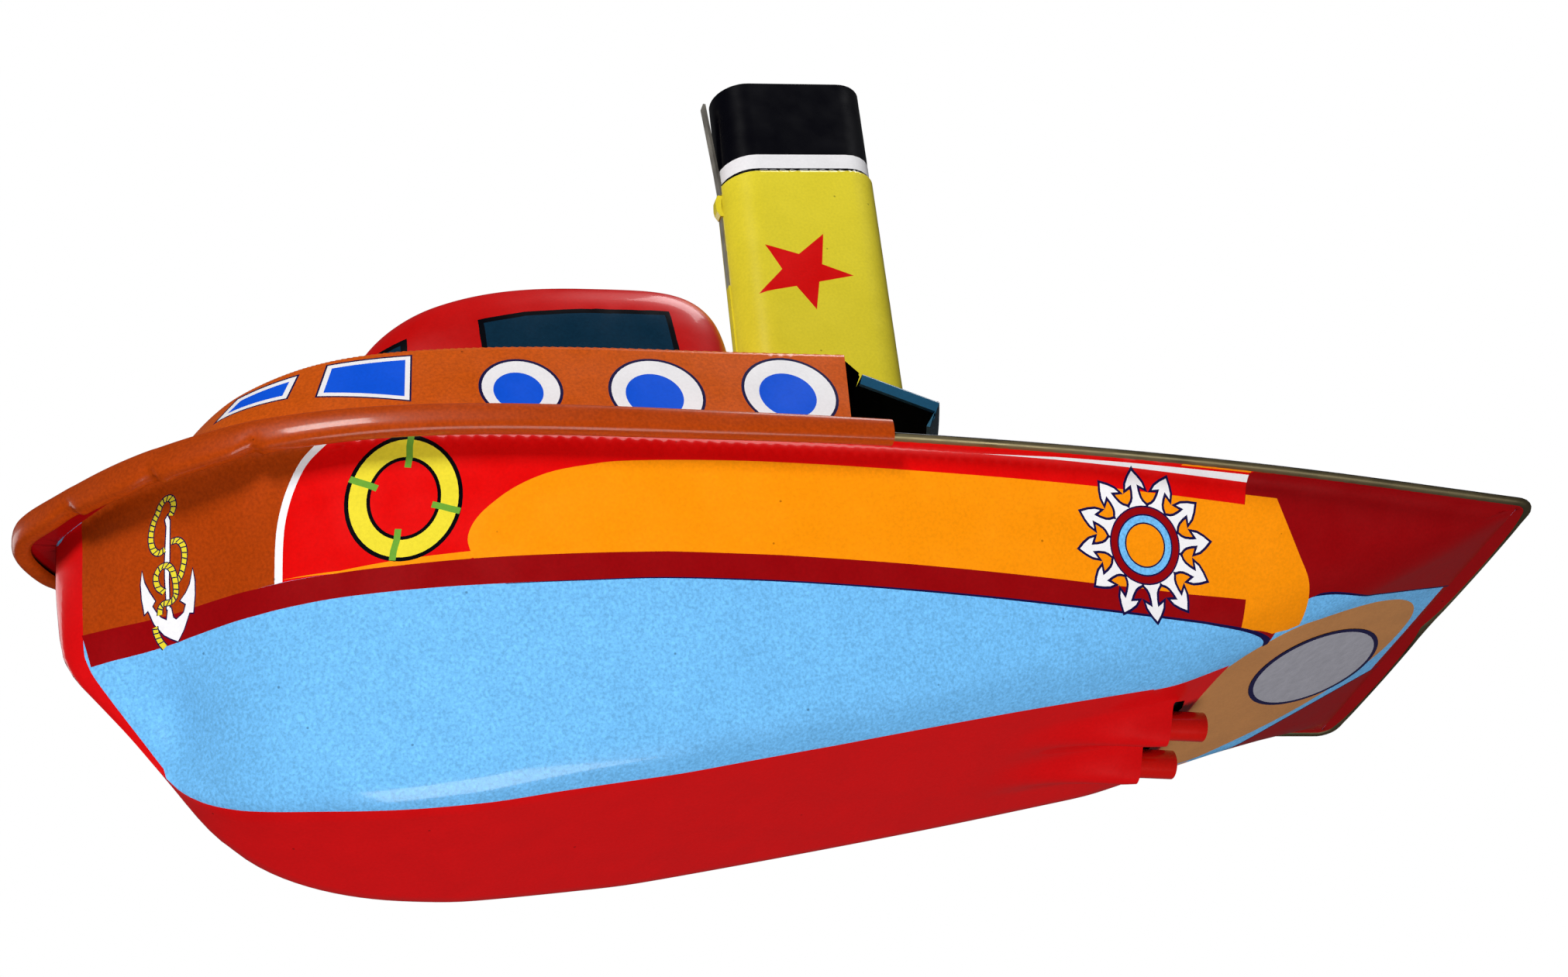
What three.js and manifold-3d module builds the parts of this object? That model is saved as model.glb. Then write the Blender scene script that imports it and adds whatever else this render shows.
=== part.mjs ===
// Tinplate candle-boiler toy tug boat ("putt-putt" boat), in millimetres, +Z up.
//
// The sheet-metal parts are drawn in the deck frame: x runs aft from the bow tip, y to starboard
// and z up from the deck edge. The boat stands on the flat forward part of its bottom and on the
// ends of its two exhaust tubes, so the whole deck frame is pitched until both are on z = 0.

import * as THREE from "three";
import { mergeVertices } from "three/addons/utils/BufferGeometryUtils.js";
import Module from "manifold-3d";

const wasm = await Module();
wasm.setup();

// ---- driving dimensions -------------------------------------------------------------------

const length = 140;            // bow tip to stern edge, along the deck
const sheet = 0.5;             // tin wall
const gap = 0.3;               // space between pieces that touch
const stemX = 4.3;             // hull skin starts here, behind the flange at the bow
const flatStartX = 40;         // flat bottom, forward end
const kneeX = 56;              // where the flat bottom steepens
const kneeZ = -26.4;
const creaseX = 104;           // where the bottom meets the transom
const sternX = 138;            // upper edge of the transom
const restSlope = 0.18;        // rise towards the stern of the bottom that the boat stands on
const bottomSlope = 0.2385;    // the same, aft of the knee
const pitch = Math.atan(restSlope);
const bottomPitch = Math.atan(bottomSlope);
const sternCorner = 3.5;       // corner radius of the deck edge at the stern

const rimEndX = 72.5;          // the rolled rim and the cabin end here
const rimProud = 0.6;          // rim outside the flange
const rimTop = 1.2;
const rimBottom = -1.3;
const lipWidth = 1.7;          // rim lip folded under the flange

const funnelX = 76.75;
const funnelHalfLength = 8.3;
const funnelHalfWidth = 3.4;
const funnelTop = 60.9;

const hoodSlope = 0.27;
const hoodStart = 71;
const hoodSideEnd = 82.2;
const hoodEnd = 88;
const hoodHalfWidth = 17.4;
const hoodStartZ = 11.4;
const hoodLip = 2.4;

const tubeRadius = 1.4;
const tubeBore = 0.95;
const tubeSpread = 3.8;        // tubes lie this far each side of the centre line
const tubeEndX = 109.4;
/** The straight ends of the tubes touch the ground. */
const exitZ = kneeZ + restSlope * (tubeEndX - kneeX) + tubeRadius;
const louvreStartX = 93.5;
const louvreEndX = 103.6;

const boilerX = 58;
const boilerHalfLength = 15;
const boilerHalfWidth = 10.5;
const boilerBottom = -6;
const boilerDepth = 5;
const tubeStartZ = -4.2;       // height of the tubes where they leave the boiler
const boilerCorner = 4;

const trayLength = 36;
const trayHalfWidth = 6.4;
const trayZ = 4.7;
const candleX = 6.8;           // in the floor frame, which starts at the knee
const candleRadius = 4;
const candleHeight = 7.2;

const labelX = 124.7;          // centre of the paper label on the transom
const labelHalfLength = 11.2;
const labelHalfWidth = 6.15;
const labelTurn = 42 * Math.PI / 180; // the label is stuck on askew

// ---- curves ---------------------------------------------------------------------------------

/** A smooth curve y(x) through points given in order of x. */
function through(points) {
  const last = points.length - 1;
  const slopes = points.map((_, i) => {
    const before = points[Math.max(i - 1, 0)];
    const after = points[Math.min(i + 1, last)];
    return (after[1] - before[1]) / (after[0] - before[0]);
  });
  return (x) => {
    const at = THREE.MathUtils.clamp(x, points[0][0], points[last][0]);
    let i = 0;
    while (i < last - 1 && at > points[i + 1][0]) i += 1;
    const span = points[i + 1][0] - points[i][0];
    const t = (at - points[i][0]) / span;
    const t2 = t * t;
    const t3 = t2 * t;
    return (2 * t3 - 3 * t2 + 1) * points[i][1] + (t3 - 2 * t2 + t) * span * slopes[i]
      + (3 * t2 - 2 * t3) * points[i + 1][1] + (t3 - t2) * span * slopes[i + 1];
  };
}

/** The same, for an outline that starts square to the centre line like a bow. */
function bluntThrough(points) {
  const start = points[0][0];
  const curve = through(points.map(([x, y]) => [Math.sqrt(x - start), y]));
  return (x) => curve(Math.sqrt(Math.max(x - start, 0)));
}

const deckHalf = bluntThrough([[0, 0], [3, 5.8], [10, 13.6], [20, 20.2], [35, 24.3], [60, 26.3],
  [85, 27], [110, 26.3], [length, 23.8]]);
const gunwaleHalf = bluntThrough([[stemX, 1.4], [6, 4.4], [10, 9.8], [20, 17.6], [35, 22], [60, 24.1],
  [85, 24.8], [110, 24.1], [sternX, 21.8]]);
const chineForward = through([[15, 0], [17.5, 2.9], [21, 5.5], [26.5, 7.8], [35, 9.7], [48, 11.4],
  [65, 12.5], [87, 13], [creaseX, 12.9]]);
const chineAft = through([[creaseX, 12.9], [120, 16.4], [sternX, 21.3]]);
const keelForward = through([[stemX, -8], [4.7, -11], [5.8, -14], [8, -17], [11, -20.4], [14, -24],
  [17, -26.7], [21, -28.4], [27, -29.5], [33, -29.75], [flatStartX, -29.28]]);
const sideFullness = through([[stemX, 0.45], [8, 0.8], [15, 1.15], [28, 1.08], [50, 0.92], [sternX, 0.92]]);

function bottomZ(x) {
  return kneeZ + (x < kneeX ? restSlope : bottomSlope) * (x - kneeX);
}

function keelZ(x) {
  if (x < flatStartX) return keelForward(x);
  if (x < creaseX) return bottomZ(x);
  return bottomZ(creaseX) * (sternX - x) / (sternX - creaseX);
}

function chineHalf(x) {
  if (x < 15) return 0;
  return x < creaseX ? chineForward(x) : chineAft(x);
}

/** Evenly spaced values from a to b, with both ends. */
function steps(a, b, count) {
  return Array.from({ length: count + 1 }, (_, i) => a + (b - a) * i / count);
}

// ---- solids ---------------------------------------------------------------------------------

function toSolid(geometry) {
  const bare = geometry.clone();
  bare.deleteAttribute("normal");
  bare.deleteAttribute("uv");
  const merged = mergeVertices(bare, 1e-4);
  const index = Array.from(merged.index.array);
  const triangles = [];
  for (let i = 0; i < index.length; i += 3) {
    const [a, b, c] = index.slice(i, i + 3);
    if (a !== b && b !== c && c !== a) triangles.push(a, b, c);
  }
  return new wasm.Manifold(new wasm.Mesh({
    numProp: 3,
    vertProperties: new Float32Array(merged.attributes.position.array),
    triVerts: new Uint32Array(triangles),
  }));
}

function toGeometry(solid) {
  const result = solid.getMesh();
  const geometry = new THREE.BufferGeometry();
  geometry.setAttribute("position", new THREE.BufferAttribute(new Float32Array(result.vertProperties), 3));
  geometry.setIndex(new THREE.BufferAttribute(new Uint32Array(result.triVerts), 1));
  geometry.computeVertexNormals();
  return geometry;
}

/** Triangles of a flat ring of points, wound the way the ring runs. */
function capTriangles(ring, flatten) {
  const flat = ring.map(flatten);
  const forwards = THREE.ShapeUtils.area(flat) > 0;
  return THREE.ShapeUtils.triangulateShape(flat, []).map(([a, b, c]) => {
    const same = THREE.ShapeUtils.area([flat[a], flat[b], flat[c]]) > 0 === forwards;
    return same ? [a, b, c] : [a, c, b];
  });
}

/** A closed solid through rings of points that all have the same count. */
function loft(rings, flatten) {
  const count = rings[0].length;
  const last = (rings.length - 1) * count;
  const index = [];
  for (let r = 0; r < last; r += count) {
    for (let i = 0; i < count; i += 1) {
      const j = (i + 1) % count;
      index.push(r + i, r + j, r + count + i, r + j, r + count + j, r + count + i);
    }
  }
  for (const [a, b, c] of capTriangles(rings[0], flatten)) index.push(a, c, b);
  for (const [a, b, c] of capTriangles(rings.at(-1), flatten)) index.push(last + a, last + b, last + c);
  const geometry = new THREE.BufferGeometry();
  const flat = rings.flat().flatMap((p) => [p.x, p.y, p.z]);
  geometry.setAttribute("position", new THREE.BufferAttribute(new Float32Array(flat), 3));
  geometry.setIndex(index);
  if (signedVolume(geometry) < 0) {
    for (let i = 0; i < index.length; i += 3) [index[i], index[i + 1]] = [index[i + 1], index[i]];
    geometry.setIndex(index);
  }
  return geometry;
}

function signedVolume(geometry) {
  const position = geometry.attributes.position;
  const index = geometry.index.array;
  const [a, b, c] = [new THREE.Vector3(), new THREE.Vector3(), new THREE.Vector3()];
  let sum = 0;
  for (let i = 0; i < index.length; i += 3) {
    a.fromBufferAttribute(position, index[i]);
    b.fromBufferAttribute(position, index[i + 1]);
    c.fromBufferAttribute(position, index[i + 2]);
    sum += a.dot(b.cross(c));
  }
  return sum / 6;
}

const acrossHull = (p) => new THREE.Vector2(p.y, p.z);
const inPlan = (p) => new THREE.Vector2(p.x, p.y);

/** Flat outline, extruded up from z = low to z = high. */
function prism(points, low, high, holes = []) {
  const shape = new THREE.Shape(points);
  for (const hole of holes) shape.holes.push(new THREE.Path(hole));
  const depth = high - low;
  const geometry = new THREE.ExtrudeGeometry(shape, { depth, bevelEnabled: false, curveSegments: 8 });
  return geometry.translate(0, 0, low);
}

function boxAt(x0, x1, y0, y1, z0, z1) {
  return new THREE.BoxGeometry(x1 - x0, y1 - y0, z1 - z0)
    .translate((x0 + x1) / 2, (y0 + y1) / 2, (z0 + z1) / 2);
}

/** A cylinder that lies along x. */
function rodAlongX(radius, x0, x1, y, z, sides = 12) {
  return new THREE.CylinderGeometry(radius, radius, x1 - x0, sides)
    .rotateZ(Math.PI / 2)
    .translate((x0 + x1) / 2, y, z);
}

/** Rounded rectangle centred on (x, y). */
function roundedRectangle(x, y, halfX, halfY, radius, perCorner = 4) {
  const points = [];
  const corners = [[1, 1, 0], [-1, 1, 1], [-1, -1, 2], [1, -1, 3]];
  for (const [sx, sy, quarter] of corners) {
    for (const t of steps(0, 1, perCorner)) {
      const angle = (quarter + t) * Math.PI / 2;
      points.push(new THREE.Vector2(x + sx * (halfX - radius) + radius * Math.cos(angle),
        y + sy * (halfY - radius) + radius * Math.sin(angle)));
    }
  }
  return points;
}

// ---- hull -----------------------------------------------------------------------------------

/** Half of the deck edge from the bow tip to the stern, moved inwards by inset. */
function deckEdge(inset, endX = length) {
  const half = steps(0, 1, 22).map((t) => {
    const x = (length - sternCorner) * t * t;
    return new THREE.Vector2(x, deckHalf(x));
  });
  for (const angle of steps(0, Math.PI / 2, 4).slice(1)) {
    const x = length - sternCorner + sternCorner * Math.sin(angle);
    half.push(new THREE.Vector2(x, deckHalf(x) - sternCorner * (1 - Math.cos(angle))));
  }
  const moved = half.map((point, i) => {
    const before = i === 0 ? new THREE.Vector2(point.x, -1) : half[i - 1];
    const after = i === half.length - 1 ? new THREE.Vector2(point.x, point.y - 1) : half[i + 1];
    const along = after.clone().sub(before).normalize();
    return new THREE.Vector2(point.x + along.y * inset, Math.max(point.y - along.x * inset, 0));
  });
  return moved.filter((point) => point.x <= endX);
}

/** Closed plan outline from half of it, mirrored; endX cuts it square. */
function closedOutline(half, endX) {
  const side = half.slice();
  if (endX !== undefined) side.push(new THREE.Vector2(endX, side.at(-1).y));
  const port = side.slice().reverse().filter((p) => p.y > 0).map((p) => new THREE.Vector2(p.x, -p.y));
  return [...side, ...port];
}

/** One section of the hull skin, moved inwards by inset; its top is at z = top. */
function hullSection(x, inset, top) {
  const skew = x < flatStartX ? 1.2 * inset : 0;
  const depth = Math.min(keelZ(x - skew) + 1.05 * inset, -0.05);
  const half = Math.max(gunwaleHalf(x) - 1.2 * inset, 0.3);
  const chine = Math.min(Math.max(chineHalf(x - skew) - 0.7 * inset, 0), half - 0.1);
  const power = sideFullness(x);
  const sideAt = (t) => [chine + (half - chine) * (1 - t) ** power, depth * t];
  const round = Math.min(3, chine * 0.6);
  const turn = 1 - Math.min(3 / Math.max(-depth, 3.4), 0.4) * Math.min(chine / 5, 1);
  const [turnY, turnZ] = sideAt(turn);
  const points = [[half, top], ...steps(0, turn, 4).map(sideAt)];
  for (const t of [1 / 3, 2 / 3]) {
    const a = (1 - t) * (1 - t);
    const b = 2 * t * (1 - t);
    points.push([a * turnY + b * chine + t * t * (chine - round), a * turnZ + (b + t * t) * depth]);
  }
  points.push([chine - round, depth]);
  const starboard = points.map(([y, z]) => new THREE.Vector3(x, y, z));
  const keel = new THREE.Vector3(x, 0, depth);
  const port = starboard.slice().reverse().map((p) => new THREE.Vector3(p.x, -p.y, p.z));
  return [...starboard, keel, ...port];
}

function hullStations(from, to) {
  const bow = [0, 0.35, 0.9, 1.7, 2.8, 4.3, 6.2, 8.4, 11, 14, 17.5, 22, 26, 30.5].map((d) => from + d);
  const middle = [flatStartX, 48, kneeX, 66, 77, 88, 97, creaseX];
  return [...bow, ...middle, ...steps(creaseX, to, 5).slice(1)];
}

/** Both tube louvres: half pipes pressed out of the bottom, open towards the stern. */
function louvres(radius, x0, x1) {
  const [port, starboard] = [-tubeSpread, tubeSpread]
    .map((y) => toSolid(rodAlongX(radius, x0, x1, y, exitZ)));
  return port.add(starboard);
}

function hullSolid() {
  const skin = toSolid(loft(hullStations(stemX, sternX).map((x) => hullSection(x, 0, 0)), acrossHull));
  const inside = toSolid(loft(hullStations(stemX + sheet, sternX - 1.1)
    .map((x) => hullSection(x, sheet, 1)), acrossHull));
  const flange = toSolid(prism(closedOutline(deckEdge(rimProud)), -sheet, 0));
  const pressed = louvres(tubeRadius + gap + 0.15 + sheet, louvreStartX, louvreEndX);
  return skin.add(flange).add(pressed).subtract(inside).subtract(louvres(tubeRadius + gap + 0.1, 90, 111));
}

// ---- foredeck and cabin, one pressing -------------------------------------------------------

const cabinFoot = bluntThrough([[9.8, 0], [12, 7.4], [16, 12.6], [22, 16.2], [30, 18.6], [45, 20.2],
  [rimEndX, 21.3]]);
const cabinShoulder = bluntThrough([[14, 0], [15.6, 6.6], [18.5, 11], [24.5, 14.7], [32, 16.8], [45, 18.1],
  [rimEndX, 19]]);
const cabinShoulderZ = through([[14, 8.6], [18.5, 9.6], [24.5, 10.9], [32, 11.4], [45, 11.9],
  [rimEndX, 12.6]]);

/** One level of the cabin: share 0 is the foot, 1 the shoulder, and more closes the roof. */
function cabinRing(share, inset, low) {
  const rise = Math.min(share, 1);
  const close = Math.max(share - 1, 0);
  const half = steps(0, 1, 14).map((t) => {
    const footX = 9.8 + (rimEndX - 9.8) * t * t;
    const topX = 14 + (rimEndX - 14) * t * t;
    const x = THREE.MathUtils.lerp(footX, topX, rise);
    const y = THREE.MathUtils.lerp(cabinFoot(footX), cabinShoulder(topX), rise);
    const z = THREE.MathUtils.lerp(low, cabinShoulderZ(topX), rise) + 1.1 * close * (2 - close);
    const forward = inset * Math.exp(-t * 5);
    return new THREE.Vector3(x + forward + close * 3 * Math.exp(-t * 5), (y - inset * (1 - Math.exp(-t * 9)))
      * (1 - close), z);
  });
  half.forEach((p) => { p.y = Math.max(p.y, 0); });
  const port = half.slice(1).reverse().map((p) => new THREE.Vector3(p.x, -p.y, p.z));
  return [...half, ...port];
}

function cabinBlock(inset, low, drop, stretch) {
  const rings = [0, 0.5, 0.9, 1, 1.3, 1.65, 1.98].map((share) => cabinRing(share, inset, low));
  for (const ring of rings) {
    for (const point of ring) {
      if (point.z > low + 0.5) point.z -= drop;
      if (point.x > rimEndX - 0.01) point.x += stretch;
    }
  }
  return toSolid(loft(rings, inPlan));
}

const cabinOuter = cabinBlock(0, rimTop - 0.2, 0, 0);

function deckCabinSolid() {
  const edge = (inset) => closedOutline(deckEdge(inset, rimEndX), rimEndX);
  const past = rimEndX + 2;
  const rim = toSolid(prism(edge(0), rimBottom, rimTop));
  const groove = toSolid(prism(closedOutline(deckEdge(rimProud - gap, rimEndX), past), -sheet - gap, gap));
  const under = toSolid(prism(closedOutline(deckEdge(rimProud + lipWidth, rimEndX), past), rimBottom - 1, 0));
  const room = cabinBlock(sheet, -2, sheet, 3);
  return rim.add(cabinOuter).subtract(groove).subtract(under).subtract(room);
}

// ---- wheelhouse -----------------------------------------------------------------------------

const houseStart = 28.4;
const houseEnd = 65.6;
const houseHalfWidth = 12;
const houseRoof = through([[28.4, 16.6], [31, 19.3], [34, 21.4], [37, 23], [42, 24.6], [47, 25.7],
  [53, 26.3], [59, 26.6], [65, 26.4]]);

/** Superellipse outline: round towards the bow, squarer towards the stern. */
function houseRing(shrink, lift, low, inset) {
  const split = houseStart + (houseEnd - houseStart) * 0.62;
  return steps(0, 2 * Math.PI, 32).slice(0, -1).map((angle) => {
    const forward = Math.cos(angle) < 0;
    const reach = (forward ? split - houseStart : houseEnd - split) - shrink - inset;
    const power = forward ? 2 / 2.6 : 2 / 5;
    const bend = (value, exponent) => Math.sign(value) * Math.abs(value) ** exponent;
    const x = split + reach * bend(Math.cos(angle), power);
    const y = (houseHalfWidth - shrink * 0.8 - inset) * bend(Math.sin(angle), forward ? 2 / 2.6 : 2 / 4);
    return new THREE.Vector3(x, y, THREE.MathUtils.lerp(low, houseRoof(x) - inset, lift));
  });
}

function houseBlock(inset, low) {
  const levels = [[0, 0], [0.5, 0.55], [1, 0.76], [1.9, 0.88], [3.3, 0.955], [5.2, 0.99], [8, 1.01]];
  return toSolid(loft(levels.map(([shrink, lift]) => houseRing(shrink, lift, low, inset)), inPlan));
}

function wheelhouseSolid() {
  const roof = cabinOuter.translate([0, 0, gap]);
  return houseBlock(0, 8).subtract(houseBlock(sheet, 7)).subtract(roof);
}

// ---- hood over the boiler -------------------------------------------------------------------

function hoodOutline(inset, front) {
  const arc = steps(-1, 1, 12).map((t) => {
    const reach = (hoodEnd - hoodSideEnd) * (1 - t * t);
    return new THREE.Vector2(hoodSideEnd + reach - inset, t * (hoodHalfWidth - inset));
  });
  return [new THREE.Vector2(front, -hoodHalfWidth + inset), ...arc,
    new THREE.Vector2(front, hoodHalfWidth - inset)];
}

function hoodSolid() {
  const cover = toSolid(prism(hoodOutline(0, hoodStart), -hoodLip, 0));
  const inside = toSolid(prism(hoodOutline(sheet, hoodStart - 2), -hoodLip - 1, -sheet));
  const angle = Math.atan(hoodSlope) * 180 / Math.PI;
  return cover.subtract(inside)
    .translate([-hoodStart, 0, 0])
    .rotate([0, angle, 0])
    .translate([hoodStart, 0, hoodStartZ]);
}

// ---- funnel ---------------------------------------------------------------------------------

function funnelSolid() {
  const outline = (inset) => roundedRectangle(funnelX, 0, funnelHalfLength - inset, funnelHalfWidth - inset,
    funnelHalfWidth - inset, 5);
  const tube = toSolid(prism(outline(0), 8, funnelTop, [outline(sheet)]));
  const hoodSpace = toSolid(boxAt(0, 60, -10, 10, -40, 0));
  const angle = Math.atan(hoodSlope) * 180 / Math.PI;
  const cutZ = hoodStartZ + 3 * hoodSlope + gap + 0.05;
  const cut = hoodSpace.rotate([0, angle, 0]).translate([hoodStart - 3, 0, cutZ]);
  return tube.subtract(cut).subtract(cabinOuter.translate([gap, 0, gap]));
}

// ---- boiler and its tubes -------------------------------------------------------------------

function boilerOutline(inset) {
  const corner = Math.max(boilerCorner - 0.6 * inset, 0.5);
  return roundedRectangle(boilerX, 0, boilerHalfLength - inset, boilerHalfWidth - inset, corner);
}

function boilerPanSolid() {
  const top = boilerBottom + boilerDepth;
  const body = toSolid(prism(boilerOutline(0), boilerBottom, top));
  const collar = toSolid(prism(boilerOutline(-1), top - 0.7, top));
  const inside = toSolid(prism(boilerOutline(0.7), boilerBottom + 0.7, top + 1));
  return body.add(collar).subtract(inside);
}

/** Springy brass lid: a thin plate with three pressed steps. */
function diaphragmSolid() {
  const low = boilerBottom + boilerDepth + gap;
  return [[-0.6, 0], [3, 0.4], [5.4, 0.8]].map(([inset, rise]) =>
    toSolid(prism(boilerOutline(inset), low, low + 0.5 + rise))).reduce((a, b) => a.add(b));
}

/** Tin hanger under the boiler, from cabin wall to cabin wall. */
function strapSolid(x) {
  const outer = [[-18.4, 4], [-17.9, 4], [-16.9, -6.3], [16.9, -6.3], [17.9, 4], [18.4, 4],
    [17.4, -6.9], [-17.4, -6.9]];
  const shape = new THREE.Shape(outer.map(([y, z]) => new THREE.Vector2(y, z)));
  const geometry = new THREE.ExtrudeGeometry(shape, { depth: 4, bevelEnabled: false });
  return geometry.rotateX(Math.PI / 2).rotateZ(Math.PI / 2).translate(x - 2, 0, 0);
}

function tubeGeometry(y) {
  const floor = (x) => bottomZ(x) + (sheet + gap + tubeRadius) / Math.cos(bottomPitch);
  const front = boilerX - boilerHalfLength - gap;
  const points = [[front, tubeStartZ], [front - 2.5, tubeStartZ - 0.2], [38, -7], [36.8, -12],
    [36.8, -19], [38.4, -24], [42, floor(42) + 0.4], [46, floor(46)], [58, floor(58)],
    [74, floor(74)], [88, floor(88)], [94, exitZ + 0.02], [100, exitZ],
    [tubeEndX, exitZ]];
  const path = new THREE.CatmullRomCurve3(points.map(([x, z]) => new THREE.Vector3(x, y, z)));
  const ring = (radius) => steps(0, 2 * Math.PI, 12).slice(0, -1)
    .map((angle) => new THREE.Vector2(radius * Math.cos(angle), radius * Math.sin(angle)));
  const shape = new THREE.Shape(ring(tubeRadius));
  shape.holes.push(new THREE.Path(ring(tubeBore)));
  return new THREE.ExtrudeGeometry(shape, { steps: 38, extrudePath: path, bevelEnabled: false });
}

/** Bushing soldered round a tube where it enters the boiler. */
function collarGeometry(y) {
  const front = boilerX - boilerHalfLength - gap;
  const ring = toSolid(rodAlongX(2.3, front - 1.3, front, y, tubeStartZ, 16));
  const hole = toSolid(rodAlongX(tubeRadius + gap, front - 4, front + 1, y, tubeStartZ, 16));
  return toGeometry(ring.subtract(hole));
}

// ---- pieces in the floor frame: x aft from the knee, z = 0 on the underside of the bottom ----

/** Tin strap that holds both tubes down on the bottom. */
function tubeStrapSolid(x) {
  const half = tubeSpread + tubeRadius + gap + 0.6;
  const tubeTop = sheet + gap + 2 * tubeRadius;
  const bridge = toSolid(boxAt(x, x + 3.5, -half, half, sheet + gap, tubeTop + gap + sheet));
  const feet = toSolid(boxAt(x, x + 3.5, -half - 2.6, half + 2.6, sheet + gap, sheet + gap + 0.6));
  const room = toSolid(boxAt(x - 1, x + 4.5, -half + 0.6, half - 0.6, 0, tubeTop + gap));
  return bridge.add(feet).subtract(room);
}

/** Candle tray: a tin plate with turned-up sides and a tail to pull it out by. */
function traySolid() {
  const [x0, x1] = [candleX - 9, candleX - 9 + trayLength];
  const floorPlate = toSolid(boxAt(x0, x1, -trayHalfWidth, trayHalfWidth, trayZ, trayZ + 0.6));
  const sides = [-1, 1].map((side) => toSolid(boxAt(x0, x1 - 8, side * trayHalfWidth - 0.3,
    side * trayHalfWidth + 0.3, trayZ, trayZ + 2.4)));
  const front = toSolid(boxAt(x0 - 0.3, x0 + 0.3, -trayHalfWidth, trayHalfWidth, trayZ, trayZ + 2.4));
  const tail = toSolid(boxAt(x1 - 0.4, x1 + 0.2, -3.5, 3.5, trayZ, trayZ + 4.5));
  return [...sides, front, tail].reduce((a, b) => a.add(b), floorPlate);
}

function cupGeometry() {
  const [inner, outer, low] = [candleRadius + gap, candleRadius + gap + 0.5, trayZ + 0.6 + gap];
  const profile = [[0, low], [outer, low], [outer + 0.3, low + 2.8], [inner + 0.3, low + 2.8],
    [inner, low + 0.5], [0, low + 0.5]];
  return new THREE.LatheGeometry(profile.map(([x, y]) => new THREE.Vector2(x, y)), 20)
    .rotateX(Math.PI / 2)
    .translate(candleX, 0, 0);
}

function candleGeometry() {
  const low = trayZ + 0.6 + 2 * gap + 0.5;
  const high = low + candleHeight;
  const profile = [[0, low], [candleRadius, low], [candleRadius, high - 0.6], [candleRadius - 0.6, high],
    [2, high - 0.5], [0.8, high - 0.8], [0.8, high - 2.6], [0, high - 2.6]];
  return new THREE.LatheGeometry(profile.map(([x, y]) => new THREE.Vector2(x, y)), 20)
    .rotateX(Math.PI / 2)
    .translate(candleX, 0, 0);
}

function wickGeometry() {
  const low = trayZ + 1.1 + 2 * gap + candleHeight - 2.3;
  return new THREE.CylinderGeometry(0.35, 0.45, 4.2, 8).rotateX(Math.PI / 2).translate(candleX, 0, low + 2.1);
}

/** Angle rail beside the tray. */
function guideSolid(side) {
  const inner = side * (trayHalfWidth + 0.8);
  const rail = (y0, y1, z0, z1) => toSolid(boxAt(4.8, 25, Math.min(y0, y1), Math.max(y0, y1), z0, z1));
  const low = sheet + gap;
  const web = rail(inner, inner + side * 0.6, low, trayZ + 2.2);
  return web.add(rail(inner, inner + side * 2.8, low, low + 0.6));
}

/** Oval paper label on the transom. */
function labelGeometry() {
  const shape = new THREE.Shape();
  shape.absellipse(0, 0, labelHalfLength, labelHalfWidth, 0, 2 * Math.PI, false, labelTurn);
  const geometry = new THREE.ExtrudeGeometry(shape, { depth: 0.3, bevelEnabled: false, curveSegments: 14 });
  const rake = Math.atan(-bottomZ(creaseX) / (sternX - creaseX));
  return geometry.rotateY(-rake).translate(labelX, 0, keelZ(labelX) - gap - 0.4);
}

// ---- assembly -------------------------------------------------------------------------------

function finish(color, roughness, metalness) {
  return new THREE.MeshStandardMaterial({ color, roughness, metalness });
}

const hullTin = finish(0x6fb2ea, 0.3, 0.3);
const orangeTin = finish(0xc85a14, 0.35, 0.3);
const redTin = finish(0xb81408, 0.28, 0.3);
const yellowTin = finish(0xe6d22c, 0.35, 0.3);
const blueTin = finish(0x1f4a66, 0.35, 0.3);
const redTube = finish(0xc4140c, 0.3, 0.5);
const bareTin = finish(0xa9a294, 0.4, 0.9);
const brass = finish(0xc79a3c, 0.35, 0.9);
const solder = finish(0x8c8c88, 0.45, 0.9);
const wax = finish(0xf2ead2, 0.5, 0);
const cotton = finish(0x4a4238, 0.9, 0);
const paper = finish(0xe4e2ea, 0.6, 0);

const deckFrame = new THREE.Group();
const floorFrame = new THREE.Group();

function add(frame, name, shape, material) {
  const geometry = shape.isBufferGeometry ? shape : toGeometry(shape);
  const mesh = new THREE.Mesh(geometry, material);
  mesh.name = name;
  frame.add(mesh);
}

add(deckFrame, "hull", hullSolid(), hullTin);
add(deckFrame, "deck_cabin", deckCabinSolid(), orangeTin);
add(deckFrame, "wheelhouse", wheelhouseSolid(), redTin);
add(deckFrame, "boiler_hood", hoodSolid(), blueTin);
add(deckFrame, "funnel", funnelSolid(), yellowTin);
add(deckFrame, "boiler_pan", boilerPanSolid(), bareTin);
add(deckFrame, "boiler_diaphragm", diaphragmSolid(), brass);
add(deckFrame, "boiler_hanger_forward", strapSolid(boilerX - 8), bareTin);
add(deckFrame, "boiler_hanger_aft", strapSolid(boilerX + 8), bareTin);
for (const [side, y] of [["port", -tubeSpread], ["starboard", tubeSpread]]) {
  add(deckFrame, `exhaust_tube_${side}`, tubeGeometry(y), redTube);
  add(deckFrame, `tube_collar_${side}`, collarGeometry(y), solder);
}
add(deckFrame, "transom_label", labelGeometry(), paper);

add(floorFrame, "tube_strap_forward", tubeStrapSolid(0.5), bareTin);
add(floorFrame, "tube_strap_aft", tubeStrapSolid(27), bareTin);
add(floorFrame, "candle_tray", traySolid(), bareTin);
add(floorFrame, "candle_cup", cupGeometry(), brass);
add(floorFrame, "candle", candleGeometry(), wax);
add(floorFrame, "candle_wick", wickGeometry(), cotton);
add(floorFrame, "tray_guide_port", guideSolid(-1), bareTin);
add(floorFrame, "tray_guide_starboard", guideSolid(1), bareTin);

floorFrame.position.set(kneeX, 0, kneeZ);
floorFrame.rotation.y = -bottomPitch;
deckFrame.add(floorFrame);

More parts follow.
